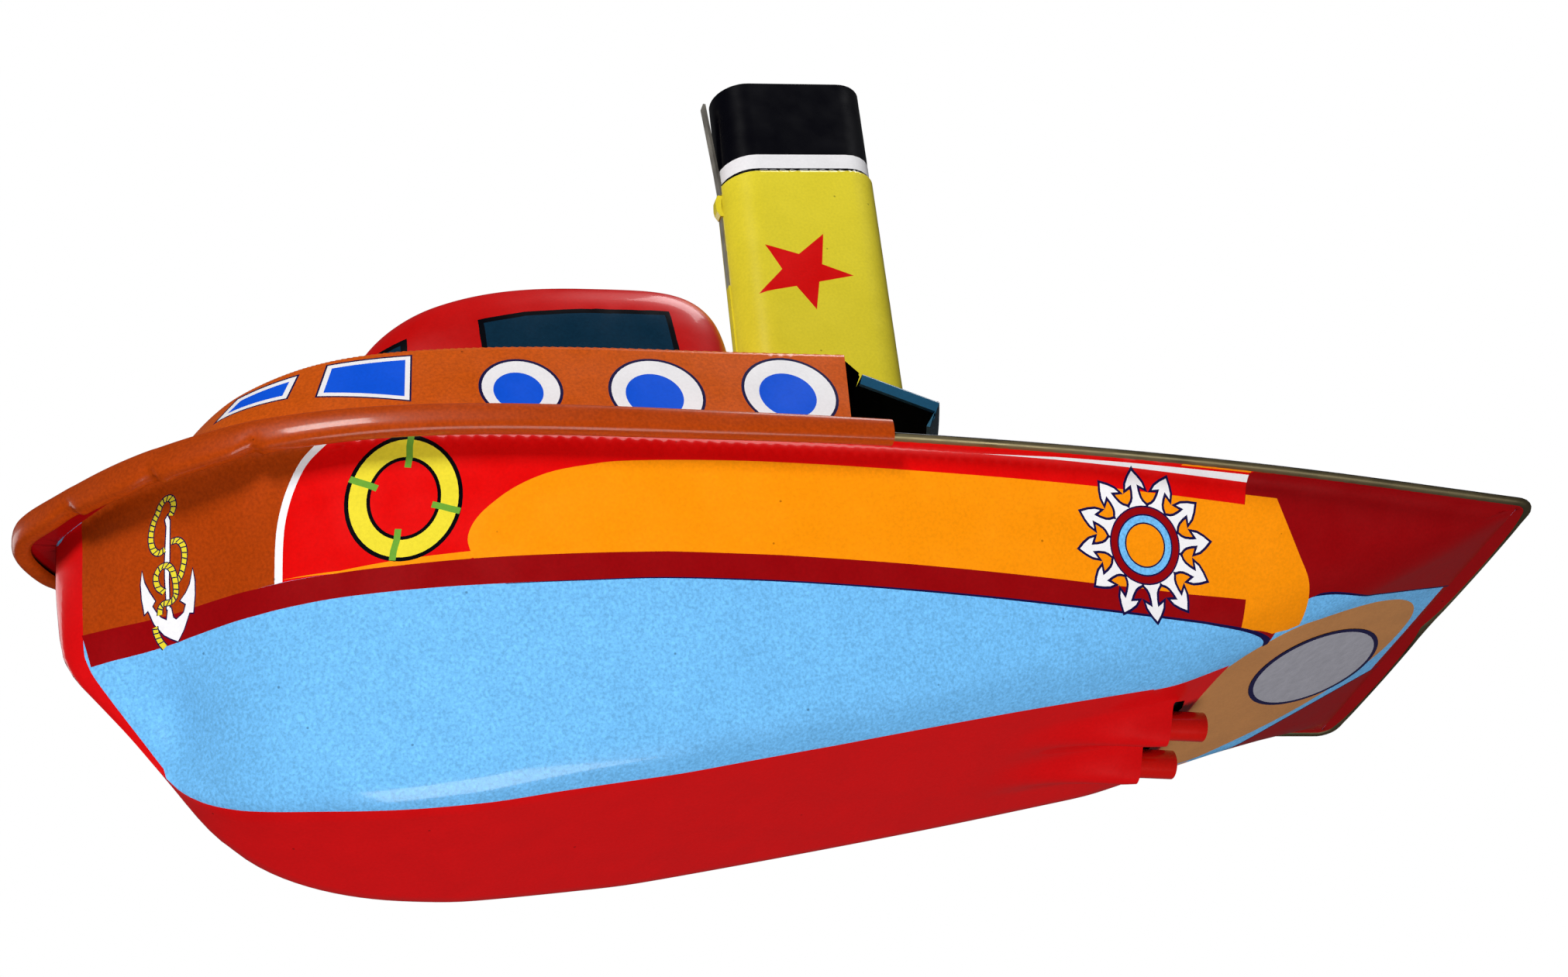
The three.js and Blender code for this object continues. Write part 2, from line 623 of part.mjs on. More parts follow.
const boat = new THREE.Group();
boat.add(deckFrame);
boat.rotation.y = pitch;

// The origin is under the middle of the whole boat, on the surface that it stands on.
boat.updateMatrixWorld(true);
const bounds = new THREE.Box3().setFromObject(boat, true);
boat.position.set(-(bounds.min.x + bounds.max.x) / 2, 0, kneeX * Math.sin(pitch) - kneeZ * Math.cos(pitch));

export default boat;
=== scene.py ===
"""Tinplate putt-putt tug boat: printed skins, rims, funnel and fittings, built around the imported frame.

Shapes are drawn in the deck frame, in millimetres: x aft from the bow tip, y to starboard, z up from
the deck edge. to_row() takes them to the row frame, in metres.
"""

import math

import bpy
import numpy as np
from mathutils import Matrix, Vector
from mathutils.geometry import delaunay_2d_cdt


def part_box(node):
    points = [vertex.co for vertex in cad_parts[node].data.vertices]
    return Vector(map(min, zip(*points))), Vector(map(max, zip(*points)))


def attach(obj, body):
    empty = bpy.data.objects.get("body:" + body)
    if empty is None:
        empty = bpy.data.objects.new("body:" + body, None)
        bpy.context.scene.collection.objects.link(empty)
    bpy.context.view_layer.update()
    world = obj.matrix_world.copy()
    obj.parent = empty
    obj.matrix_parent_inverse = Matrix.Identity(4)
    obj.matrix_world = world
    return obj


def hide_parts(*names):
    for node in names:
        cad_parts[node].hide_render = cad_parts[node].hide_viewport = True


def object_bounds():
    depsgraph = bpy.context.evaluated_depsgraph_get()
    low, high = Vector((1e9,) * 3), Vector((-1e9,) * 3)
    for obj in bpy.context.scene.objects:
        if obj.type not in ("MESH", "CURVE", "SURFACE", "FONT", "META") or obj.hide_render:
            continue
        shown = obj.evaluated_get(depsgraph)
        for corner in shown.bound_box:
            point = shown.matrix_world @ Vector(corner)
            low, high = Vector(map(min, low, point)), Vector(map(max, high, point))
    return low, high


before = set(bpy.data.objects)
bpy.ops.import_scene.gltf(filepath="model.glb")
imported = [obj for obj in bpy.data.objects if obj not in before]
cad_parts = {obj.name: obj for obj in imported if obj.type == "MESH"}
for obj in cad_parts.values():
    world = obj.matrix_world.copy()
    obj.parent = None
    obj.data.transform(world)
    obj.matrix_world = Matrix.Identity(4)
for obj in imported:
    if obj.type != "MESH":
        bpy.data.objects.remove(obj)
cad_low, cad_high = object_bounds()

MM = 0.001
BOAT, SLIDE = "boat", "candle_slide"
GAUGE = 0.35  # drawn thickness of the sheet

# ---- the deck frame ---------------------------------------------------------------------------

PITCH = math.atan(0.18)
KNEE_X, KNEE_Z = 56.0, -26.4
RIM_BOTTOM = -1.3
ORIGIN_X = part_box("deck_cabin")[0].x / MM - math.sin(PITCH) * RIM_BOTTOM
ORIGIN_Z = KNEE_X * math.sin(PITCH) - KNEE_Z * math.cos(PITCH)


def pitched(vectors, angle):
    """Vectors turned in the x-z plane; a positive angle takes x downwards."""
    v = np.asarray(vectors, float)
    c, s = math.cos(angle), math.sin(angle)
    return np.stack([c * v[..., 0] + s * v[..., 2], v[..., 1], c * v[..., 2] - s * v[..., 0]], -1)


def to_row(points):
    return (pitched(points, PITCH) + (ORIGIN_X, 0, ORIGIN_Z)) * MM


def turn_row(vectors):
    return pitched(vectors, PITCH)


# ---- curves -----------------------------------------------------------------------------------


def ramp(value, start, end):
    """0 before start, 1 after end and straight between."""
    return np.clip((value - start) / (end - start), 0, 1)


def bezier(b, start, corner, end):
    """Quadratic curve from start to end, drawn towards corner."""
    return (1 - b) ** 2 * start + 2 * b * (1 - b) * corner + b * b * end


def steps(marks, counts):
    """Stations from mark to mark, each run with its own count."""
    runs = [np.linspace(a, b, n)[:-1] for a, b, n in zip(marks, marks[1:], counts)]
    return np.concatenate(runs + [marks[-1:]])


def through(points):
    """Smooth y(x) through points in order of x."""
    xs, ys = (np.array(c, float) for c in zip(*points))
    last = len(xs) - 1
    before, after = np.maximum(np.arange(last + 1) - 1, 0), np.minimum(np.arange(last + 1) + 1, last)
    slopes = (ys[after] - ys[before]) / (xs[after] - xs[before])

    def curve(x):
        x = np.clip(x, xs[0], xs[-1])
        i = np.clip(np.searchsorted(xs, x, side="right") - 1, 0, last - 1)
        span = xs[i + 1] - xs[i]
        t = (x - xs[i]) / span
        t2, t3 = t * t, t * t * t
        return (
            (2 * t3 - 3 * t2 + 1) * ys[i]
            + (t3 - 2 * t2 + t) * span * slopes[i]
            + (3 * t2 - 2 * t3) * ys[i + 1]
            + (t3 - t2) * span * slopes[i + 1]
        )

    return curve


def blunt(points):
    """The same for an outline that starts square to the centre line, like a bow."""
    start = points[0][0]
    curve = through([(math.sqrt(x - start), y) for x, y in points])
    return lambda x: curve(np.sqrt(np.maximum(np.asarray(x, float) - start, 0)))


def softened(curve, reach):
    """The curve with its kinks spread over reach(x) each way."""
    taps = [(-1, 1), (-0.67, 2), (-0.33, 3), (0, 4), (0.33, 3), (0.67, 2), (1, 1)]
    return lambda x: sum(w * curve(x + d * reach(x)) for d, w in taps) / 16


STEM_X, STERN_X, CREASE_X = 3.8, 136.95, 104.0
BOTTOM_SLOPE, REST_SLOPE = 0.2385, 0.18
deck_half = blunt([(0, 0), (3, 5.8), (10, 13.6), (20, 20.2), (35, 24.3), (60, 26.3), (85, 27), (110, 26.3),
                   (140, 23.8)])
gunwale_half = blunt(
    [(3.8, 0), (4.3, 1.4), (6, 4.4), (10, 9.8), (20, 17.6), (35, 22), (60, 24.1), (85, 24.8), (110, 24.1),
     (138, 21.8)]
)
chine_forward = through([(15, 0), (17.5, 2.9), (21, 5.9), (26.5, 8.6), (35, 10.6), (48, 12.3), (65, 13.4),
                         (87, 13.8), (104, 13.3)])
chine_aft = through([(104, 13.3), (120, 16.4), (138, 21.3)])
keel_forward = blunt(
    [(3.8, -0.6), (4.3, -8), (4.7, -11), (5.8, -13.5), (8, -16.1), (11, -19.5), (14, -23.3), (17, -26.4),
     (21, -28.4), (27, -29.5), (33, -29.75), (40, -29.28)]
)
side_fullness = through([(4.3, 0.45), (8, 0.8), (15, 1.15), (28, 1.08), (50, 0.92), (138, 0.92)])


def bottom_z(x):
    return KNEE_Z + np.where(x < KNEE_X, REST_SLOPE, BOTTOM_SLOPE) * (x - KNEE_X)


def raw_keel(x):
    transom = bottom_z(CREASE_X) * (138 - x) / (138 - CREASE_X)
    return np.where(x < 40, keel_forward(x), np.where(x < CREASE_X, bottom_z(x), transom))


def raw_chine(x):
    return np.where(x < 15, 0, np.where(x < CREASE_X, chine_forward(x), chine_aft(x)))


def soft_reach(x):
    return np.clip(np.minimum((x - STEM_X) * 0.2, (138 - x) * 0.5), 0, 2.5)


keel = softened(raw_keel, soft_reach)
chine_half = softened(raw_chine, soft_reach)

# ---- mesh work --------------------------------------------------------------------------------


def unit(v):
    return v / np.maximum(np.linalg.norm(v, axis=-1, keepdims=True), 1e-12)


def quads(rows, cols):
    """Faces of a grid of points that runs row after row."""
    return [
        (i * cols + j, (i + 1) * cols + j, (i + 1) * cols + j + 1, i * cols + j + 1)
        for i in range(rows - 1)
        for j in range(cols - 1)
    ]


def band(count):
    """Faces between two lines of count points each."""
    return [(i, i + 1, count + i + 1, count + i) for i in range(count - 1)]


def normals_of(lift, u, v, span, out):
    """Normals of a surface by differences, pointing to the side that out (+1 or -1) picks."""
    (u0, u1), (v0, v1) = span
    du, dv = (u1 - u0) * 1e-4, (v1 - v0) * 1e-4
    uc = np.clip(u, u0 + 4 * du, u1 - 4 * du)
    vc = np.clip(v, v0 + 4 * dv, v1 - 4 * dv)
    across = lift(uc + du, vc) - lift(uc - du, vc)
    down = lift(uc, vc + dv) - lift(uc, vc - dv)
    return unit(np.cross(across, down)) * out


def wound(points, ring):
    """Which points the closed ring goes round."""
    turns = np.zeros(len(points), int)
    near = np.all((points >= ring.min(0)) & (points <= ring.max(0)), 1)
    p = points[near]
    count = np.zeros(len(p), int)
    for a, b in zip(ring, np.roll(ring, -1, 0)):
        side = (b[0] - a[0]) * (p[:, 1] - a[1]) - (p[:, 0] - a[0]) * (b[1] - a[1])
        count += (a[1] <= p[:, 1]) & (b[1] > p[:, 1]) & (side > 0)
        count -= (a[1] > p[:, 1]) & (b[1] <= p[:, 1]) & (side < 0)
    turns[near] = count
    return turns != 0


class Mesh:
    """Collects patches of vertices, faces, loop normals and material numbers."""

    def __init__(self):
        self.points, self.faces, self.normals, self.slots, self.count = [], [], [], [], 0

    def add(self, points, faces, normals, slots):
        """normals is one per vertex, or None for flat faces; slots is one number or one per face."""
        points = np.asarray(points, float)
        faces = [tuple(f) for f in faces]
        slots = [slots] * len(faces) if np.isscalar(slots) else list(slots)
        for face, number in zip(faces, slots):
            corner = points[list(face)]
            area = np.zeros(3)
            for i in range(1, len(face) - 1):
                area += np.cross(corner[i] - corner[0], corner[i + 1] - corner[0])
            if np.linalg.norm(area) < 1e-6:
                continue
            if normals is None:
                flat = unit(area)
                loops = [flat] * len(face)
            else:
                loops = [normals[i] for i in face]
                if np.dot(sum(loops), area) < 0:
                    face, loops = face[::-1], loops[::-1]
            self.faces.append(tuple(i + self.count for i in face))
            self.normals.extend(loops)
            self.slots.append(number)
        self.points.append(points)
        self.count += len(points)

    def grid(self, lift, us, vs, out, slot, offset=0.0, also=None, left_out=None):
        """A regular patch of a surface, moved along its normals by offset.

        also is the whole span of the surface, and left_out tells which face centres are cut away.
        """
        uu, vv = (a.ravel() for a in np.meshgrid(us, vs, indexing="ij"))
        normals = normals_of(lift, uu, vv, also or ((us[0], us[-1]), (vs[0], vs[-1])), out)
        points = lift(uu, vv) + normals * offset
        points[:, 1] = np.maximum(points[:, 1], 0)
        faces = quads(len(us), len(vs))
        if left_out is not None:
            faces = [f for f in faces if not left_out(points[list(f)].mean(0))]
        self.add(points, faces, normals if offset >= 0 else -normals, slot)

    def edge(self, lift, us, vs, out, slot, thickness, along):
        """The cut edge of a sheet along the line of points (us, vs), facing the direction along."""
        us, vs = np.broadcast_arrays(np.asarray(us, float), np.asarray(vs, float))
        span = (us.min() - 1e-3, us.max() + 1e-3), (vs.min() - 1e-3, vs.max() + 1e-3)
        top = lift(us, vs)
        points = np.concatenate([top, top - normals_of(lift, us, vs, span, out) * thickness])
        self.add(points, band(len(us)), np.tile(unit(np.asarray(along, float)), (len(points), 1)), slot)

    def printed(self, lift, us, vs, out, regions, base=0, holes=(), extra=(), reach=0.9):
        """A surface cut exactly along its print: regions are (slot, [(u, v), ...]) in painting order."""
        uu, vv = np.meshgrid(us, vs, indexing="ij")
        shift = np.zeros_like(uu)
        shift[1:-1, 1:-1:2] = (us[1] - us[0]) * 0.31
        points = [Vector(p) for p in zip((uu + shift).ravel(), vv.ravel())] + [Vector(p) for p in extra]
        edges, rings = [], []
        for slot, outline in list(regions) + [(-1, h) for h in holes]:
            ring = [(min(max(a, us[0]), us[-1]), min(max(b, vs[0]), vs[-1])) for a, b in outline]
            ring = dense([p for i, p in enumerate(ring) if math.dist(p, ring[i - 1]) > 1e-4], reach)
            start = len(points)
            edges.extend((start + i, start + (i + 1) % len(ring)) for i in range(len(ring)))
            points.extend(Vector(p) for p in ring)
            rings.append((slot, np.array(ring)))
        coords, _, faces, _, _, _ = delaunay_2d_cdt(points, edges, [], 0, 1e-5, False)
        uv = np.array([(c.x, c.y) for c in coords])
        centre = np.array([uv[list(f)].mean(0) for f in faces])
        slots = np.full(len(faces), base)
        for slot, ring in rings:
            slots[wound(centre, ring)] = slot
        kept = [(f, s) for f, s in zip(faces, slots) if s >= 0]
        normals = normals_of(lift, uv[:, 0], uv[:, 1], ((us[0], us[-1]), (vs[0], vs[-1])), out)
        self.add(lift(uv[:, 0], uv[:, 1]), [f for f, _ in kept], normals, [s for _, s in kept])

    def mirrored(self, own={}):
        """Adds the port half of everything; own then renumbers slots of the starboard half."""
        points = np.concatenate(self.points)
        flip = np.array([1, -1, 1])
        extra, start = [], self.count
        at = 0
        normals = []
        for face in self.faces:
            loops = self.normals[at : at + len(face)]
            at += len(face)
            extra.append(tuple(i + start for i in face[::-1]))
            normals.extend([n * flip for n in loops[::-1]])
        self.points = [points, points * flip]
        self.faces = self.faces + extra
        self.normals = self.normals + normals
        self.slots = [own.get(s, s) for s in self.slots] + self.slots
        self.count *= 2

    def piece(self, name, materials, body, replaces):
        """Makes the object, rides it on its body and hides the CAD nodes it replaces."""
        points = to_row(np.concatenate(self.points))
        normals = turn_row(self.normals)
        mesh = bpy.data.meshes.new(name)
        mesh.from_pydata([tuple(p) for p in points], [], self.faces)
        for material in materials:
            mesh.materials.append(material)
        mesh.polygons.foreach_set("material_index", self.slots)
        mesh.polygons.foreach_set("use_smooth", [True] * len(self.faces))
        mesh.normals_split_custom_set([tuple(n) for n in normals])
        mesh.update()
        thing = bpy.data.objects.new(name, mesh)
        bpy.context.scene.collection.objects.link(thing)
        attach(thing, body)
        if replaces:
            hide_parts(*replaces)


# ---- materials --------------------------------------------------------------------------------


def srgb(red, green, blue):
    def one(c):
        c /= 255
        return c / 12.92 if c <= 0.04045 else ((c + 0.055) / 1.055) ** 2.4

    return one(red), one(green), one(blue), 1.0


def wire(tree, node, **inputs):
    """Links sockets to the node's inputs or sets their values; an underscore stands for a space."""
    for name, value in inputs.items():
        socket = node.inputs[name.replace("_", " ")]
        if isinstance(value, bpy.types.NodeSocket):
            tree.links.new(value, socket)
        else:
            socket.default_value = value
    return node


def made(tree, kind, **inputs):
    return wire(tree, tree.nodes.new("ShaderNode" + kind), **inputs)


def shader(name):
    material = bpy.data.materials.new(name)
    material.use_nodes = True
    tree = material.node_tree
    return material, tree, tree.nodes["Principled BSDF"]


def noise_of(tree, scale, detail=2.0, roughness=0.5, stretch=None):
    source = made(tree, "TexCoord").outputs["Object"]
    if stretch:
        source = made(tree, "Mapping", Vector=source, Scale=stretch).outputs["Vector"]
    noise = made(tree, "TexNoise", Vector=source, Scale=scale, Detail=detail, Roughness=roughness)
    return noise.outputs["Fac"]


def ranged(tree, value, low, high, start=0.3, end=0.7):
    """The value's stretch from start to end spread over low to high."""
    node = made(tree, "MapRange", Value=value, From_Min=start, From_Max=end, To_Min=low, To_Max=high)
    return node.outputs["Result"]


def mixed(tree, factor, a, b, mode="MIX"):
    node = tree.nodes.new("ShaderNodeMix")
    node.data_type = "RGBA"
    node.blend_type = mode
    for socket, value in ((node.inputs[0], factor), (node.inputs[6], a), (node.inputs[7], b)):
        if isinstance(value, bpy.types.NodeSocket):
            tree.links.new(value, socket)
        else:
            socket.default_value = value
    return node.outputs[2]


def bumped(tree, bsdf, layers):
    """layers are (height socket, depth in metres)."""
    normal = {}
    for height, depth in layers:
        bump = made(tree, "Bump", Strength=1.0, Distance=depth, Height=height, **normal)
        normal = {"Normal": bump.outputs["Normal"]}
    wire(tree, bsdf, **normal)


def litho(name, color, grain=0.07, rough=0.34, coat=0.35, specks=True):
    """Printed and varnished tinplate: fine print grain, a few specks, and a slightly wavy varnish."""
    material, tree, bsdf = shader(name)
    color = srgb(*color)
    fine = noise_of(tree, 3600, 2, 0.6)
    broad = noise_of(tree, 260, 3)
    result = mixed(tree, 1.0, color, ranged(tree, fine, 1 - grain, 1 + grain), "MULTIPLY")
    result = mixed(tree, 1.0, result, ranged(tree, broad, 0.97, 1.03), "MULTIPLY")
    if specks:
        dots = made(tree, "TexVoronoi", Vector=made(tree, "TexCoord").outputs["Object"], Scale=240)
        spot = ranged(tree, dots.outputs["Distance"], 0.75, 0.0, 0.022, 0.034)
        result = mixed(tree, spot, result, tuple(c * 0.35 for c in color[:3]) + (1.0,))
    wire(tree, bsdf, Base_Color=result, Roughness=ranged(tree, broad, rough - 0.05, rough + 0.08),
         Coat_Weight=coat, Coat_Roughness=0.09, Specular_IOR_Level=0.12)
    bumped(tree, bsdf, [(noise_of(tree, 55, 2), 0.00012), (noise_of(tree, 900, 2), 0.000004)])
    return material


def tin(name, color, rough=0.36, metal=1.0):
    """Bare tinplate: brushed streaks, a mottled dull bloom and stains."""
    material, tree, bsdf = shader(name)
    color = srgb(*color)
    streak = noise_of(tree, 500, 3, 0.6, (0.12, 1, 1))
    bloom = noise_of(tree, 140, 4, 0.6)
    base = mixed(tree, 1.0, color, ranged(tree, streak, 0.86, 1.08), "MULTIPLY")
    stained = tuple(c * 0.55 for c in color[:3]) + (1.0,)
    wire(tree, bsdf, Base_Color=mixed(tree, ranged(tree, bloom, 0, 0.7, 0.45, 0.75), base, stained),
         Roughness=ranged(tree, bloom, rough - 0.08, rough + 0.22), Metallic=metal)
    bumped(tree, bsdf, [(streak, 0.000006), (bloom, 0.00003)])
    return material


ORANGE = litho("print_orange", (196, 82, 8), 0.16)
# painted shade: the orange print darkened for the bow, the rim bead and the flange over the bow
SHADED_ORANGE = litho("print_orange_painted_shade", (166, 60, 6), 0.16, 0.36, 0.2)
AMBER = litho("print_amber", (246, 144, 5), 0.07)
# painted reflection and shade: the amber print greyed and darkened for the transom
GREYED_AMBER = litho("print_amber_painted_sheen_and_shade", (194, 134, 80), 0.07)
RED = litho("print_bright_red", (218, 3, 3), 0.06)
MAROON = litho("print_maroon", (142, 3, 8), 0.07)
BOTTOM_RED = litho("print_bottom_red", (210, 10, 14), 0.05)
SKY = litho("print_light_blue", (110, 184, 240), 0.2)
WHITE = litho("print_white", (240, 240, 244), 0.03)
NAVY = litho("print_navy", (18, 12, 66), 0.05, specks=False)
BLACK = litho("print_black", (3, 3, 9), 0.05, 0.26, 0.15, specks=False)
YELLOW = litho("print_yellow", (228, 212, 50), 0.05)
ROYAL = litho("print_royal_blue", (4, 84, 222), 0.05)
GREEN = litho("print_green", (104, 160, 52), 0.06, specks=False)
GLASS_PRINT = litho("print_dark_teal", (8, 44, 66), 0.12, 0.24, specks=False)
HOOD_BLUE = litho("enamel_hood_blue", (30, 84, 116), 0.06, 0.3)
# painted highlight: a lighter copy of the hood blue for the lip's cut edge
HOOD_HIGHLIGHT_BLUE = litho("enamel_hood_painted_highlight", (70, 128, 158), 0.10, 0.35)
HOUSE_RED = litho("print_wheelhouse_red", (190, 6, 6), 0.05, 0.34, 0.22)
EDGE_TIN = tin("tin_cut_edge", (150, 138, 104), 0.4)
INSIDE_TIN = tin("tin_inside", (176, 168, 150), 0.34)
# dark tin for the cabin's inner skin, and for the tube bores, where it is painted shade
DARK_TIN = tin("tin_dark", (44, 40, 38), 0.55, 0.6)
PLAIN_TIN = tin("tin_plain", (190, 184, 172), 0.3)
BRASS = tin("brass_spring", (214, 170, 88), 0.28)
SOLDER = tin("solder_dull", (150, 150, 148), 0.45)
TUBE_RED = litho("lacquer_tube_red", (196, 16, 8), 0.05, 0.22, 0.9, specks=False)

# ---- hull -------------------------------------------------------------------------------------

# the hull sheet runs down the side, round the turn and in along the bottom
SIDE, TURN, FLAT = 25.0, 5.0, 12.0
CHINE, CENTRE = SIDE + TURN, SIDE + TURN + FLAT
FLANGE_Z, FILLET = -0.42, 0.7
TUBE_Y, TUBE_R, TUBE_BORE, TUBE_END = 3.8, 1.4, 1.05, 109.1
SCOOP_X, MOUTH_X, SCOOP_HALF, SCOOP_DEPTH = 88.0, 105.2, 3.7, 3.2
ROUNDING = 3.0  # of the corner between side and bottom
RUN = 8.0  # how strongly the bow stations crowd together


def hull_u(x):
    """Station on the sheet of the section at x, and hull_x is the way back."""
    d = np.asarray(x, float) - STEM_X
    return (d + np.sqrt(d * d + 4 * RUN * d)) / 2


def hull_x(u):
    return STEM_X + u * u / (u + RUN)


def hull_terms(x):
    """Depth, half widths, fullness, and the shares of the depth where the side starts and turns."""
    depth, half, low = keel(x), gunwale_half(x), chine_half(x)
    power = side_fullness(x)
    top = FLANGE_Z / np.minimum(depth, FLANGE_Z - 1e-3)
    turn = 1 - np.minimum(ROUNDING / np.maximum(-depth, 3.4), 0.4) * np.minimum(low / 5, 1)
    turn = np.maximum(turn, top + 1e-4)
    return depth, half, low, power, top, turn


def drawn_in(x, share):
    """The sheet is drawn in beside the lower stem."""
    return 1 - 0.42 * np.exp(-(((x - 13.4) / 3.0) ** 2) - ((share - 0.8) / 0.13) ** 2)


def hull_lift(u, v, scoop=SCOOP_DEPTH):
    """Point of the starboard half of the sheet; scoop is how deep the louvre over the tube is pressed."""
    x = hull_x(u)
    depth, half, low, power, top, turn = hull_terms(x)
    bend = np.maximum(1 / power, 1)
    t = top + (turn - top) * (1 - (1 - ramp(v, 0, SIDE)) ** bend)
    wide = half - low
    y_side = low + wide * np.maximum(1 - t, 0) ** power
    z_side = depth * t
    reach = np.clip((z_side - FLANGE_Z + FILLET) / FILLET, 0, 1)
    flare = FILLET * (1 - np.sqrt(np.maximum(1 - reach * reach, 0)))
    y_side = (y_side + flare * np.clip((x - STEM_X) / 8, 0.1, 1)) * drawn_in(x, t)
    y_turn = (low + wide * np.maximum(1 - turn, 0) ** power) * drawn_in(x, turn)
    b = ramp(v, SIDE, CHINE)
    inner = low - np.minimum(ROUNDING, low * 0.6)
    y_bend = bezier(b, y_turn, low, inner)
    z_bend = bezier(b, depth * turn, depth, depth)
    y = np.where(v <= SIDE, y_side, np.where(v <= CHINE, y_bend, inner * (1 - ramp(v, CHINE, CENTRE))))
    z = np.where(v <= SIDE, z_side, np.where(v <= CHINE, z_bend, depth))
    run = ramp(x, SCOOP_X, MOUTH_X) * (x < MOUTH_X)
    across = ramp(np.abs(y - TUBE_Y), 0, SCOOP_HALF)
    z = z - np.where(v > CHINE - 1, scoop * run**1.7 * (1 + np.cos(np.pi * across)) / 2, 0)
    return np.stack([x + 0 * v, y, z], -1)


def side_uv(x, z):
    """Where the point of the hull side at (x, z) is on the sheet."""
    x, z = float(x), float(z)
    depth, _, _, power, top, turn = (float(a) for a in hull_terms(np.array(x)))
    t = z / depth
    bend = max(1 / power, 1)
    if t <= turn:
        s = 1 - (1 - min(max((t - top) / (turn - top), 0), 1)) ** (1 / bend)
        return float(hull_u(x)), SIDE * s
    b = 1 - math.sqrt(max(1 - min(t, 1), 0) / max(1 - turn, 1e-6))
    return float(hull_u(x)), SIDE + TURN * b


def bottom_uv(x, y):
    """Where the point of the bottom or transom at (x, y) is on the sheet."""
    low = float(chine_half(np.array(float(x))))
    inner = low - min(ROUNDING, low * 0.6)
    if abs(y) <= inner:
        return float(hull_u(x)), CHINE + FLAT * (1 - abs(y) / inner)
    past = (abs(y) - inner) / max(low - inner, 1e-3)
    return float(hull_u(x)), SIDE + TURN * max(0.35, 1 - 0.65 * past)


def dense(points, step=0.8, closed=True):
    """The outline with points no further apart than step."""
    result = []
    ring = list(points) + ([points[0]] if closed else [])
    for a, b in zip(ring, ring[1:]):
        count = max(1, math.ceil(math.dist(a, b) / step))
        for i in range(count):
            result.append((a[0] + (b[0] - a[0]) * i / count, a[1] + (b[1] - a[1]) * i / count))
    if not closed:
        result.append(points[-1])
    return result


def smooth_line(points, per=6):
    """Catmull-Rom line through the points."""
    ends = [points[0], *points, points[-1]]
    result = []
    for a, b, c, d in zip(ends, ends[1:], ends[2:], ends[3:]):
        for i in range(per):
            t = i / per
            result.append(tuple(
                0.5 * (2 * q + (r - p) * t + (2 * p - 5 * q + 4 * r - s) * t * t
                       + (3 * q - p - 3 * r + s) * t**3)
                for p, q, r, s in zip(a, b, c, d)
            ))
    result.append(tuple(points[-1]))
    return result


def ribbon(line, width):
    """Outline of a stroke of that width along a line; width may be one number per point."""
    points = np.array(line, float)
    along = unit(np.gradient(points, axis=0))
    side = np.stack([-along[:, 1], along[:, 0]], -1)
    half = np.broadcast_to(np.asarray(width, float) / 2, (len(points),))[:, None]
    return [tuple(p) for p in np.concatenate([points + side * half, (points - side * half)[::-1]])]


def disc(x, y, radius, tall=None):
    """A circle, or an oval when it is tall."""
    angles = [2 * math.pi * i / 48 for i in range(48)]
    return [(x + radius * math.cos(a), y + (tall or radius) * math.sin(a)) for a in angles]


def turned(points, angle):
    c, s = math.cos(angle), math.sin(angle)
    return [(x * c - y * s, x * s + y * c) for x, y in points]


def grown(outline, amount):
    """The outline moved outwards by amount, with mitred corners."""
    points = np.array(outline, float)
    area = np.sum(points[:, 0] * np.roll(points[:, 1], -1) - np.roll(points[:, 0], -1) * points[:, 1])
    sign = 1 if area > 0 else -1
    before = unit(points - np.roll(points, 1, 0))
    after = unit(np.roll(points, -1, 0) - points)
    side_a = np.stack([before[:, 1], -before[:, 0]], -1) * sign
    side_b = np.stack([after[:, 1], -after[:, 0]], -1) * sign
    mitre = unit(side_a + side_b)
    stretch = np.minimum(1 / np.maximum(np.sum(mitre * side_a, 1), 0.2), 2.2)
    return [tuple(p) for p in points + mitre * stretch[:, None] * amount]


STRIPE_TOP = [(6.3, -10.6), (10.7, -10.7), (15, -10.7), (20, -11.1), (26, -11.15), (31, -11.0), (37, -10.7),
              (43.6, -10.4), (53.7, -9.9), (64, -9.75), (75, -9.75), (86, -9.8), (93, -9.8), (103, -9.62),
              (109.1, -9.4)]
STRIPE_BOTTOM = [(7.2, -13.3), (10.7, -13.0), (15, -12.85), (20, -13.15), (23.3, -13.15), (29, -13.05),
                 (39.7, -12.74), (47, -12.4), (53.7, -12.0), (64, -11.8), (75, -11.75), (92, -11.72),
                 (100, -11.6), (107, -11.47), (109.1, -11.38)]
STERN_LINE = [(113.6, 15.9), (116.3, 15.75), (119, 15.6), (121.8, 15.0), (124.4, 14.0), (126.9, 12.8),
              (131.5, 10.6), (135.4, 8.7), (136.94, 8.0)]
NAVY_LINE = [(40, -12.76), (47, -12.42), (53.7, -12.03), (64, -11.83), (75, -11.78), (92, -11.74),
             (103.6, -11.52), (107, -11.47), (110, -11.3), (112.2, -11.1), (113.2, -10.95)]
STEM_EDGE = [(5.75, -0.45), (5.8, -1.2), (5.95, -3.2), (6.1, -6.5), (6.4, -10.6), (6.6, -12.2), (6.9, -13.0),
             (7.5, -14.1), (8.9, -16.0), (10.3, -17.8), (11.9, -19.9), (13.6, -22.2)]
FIELD_EDGE = [(25.1, FLANGE_Z), (23.4, -1.95), (22.4, -3.9), (21.85, -6.0), (21.7, -8.1), (21.8, -11.1)]


def arc_factor(x, z):
    """Length on the slanted side for one millimetre of height, at (x, z)."""
    y = [float(hull_lift(*(np.array(a) for a in side_uv(x, q)))[1]) for q in (z - 0.5, z + 0.5)]
    return math.hypot(1, y[1] - y[0])


def motif(x, z, outline, lean=0.0):
    """Outline drawn flat round (0, 0), with z up, laid on the hull side at (x, z)."""
    k = arc_factor(x, z)
    return [(x + a - lean * b, z + b / k) for a, b in outline]


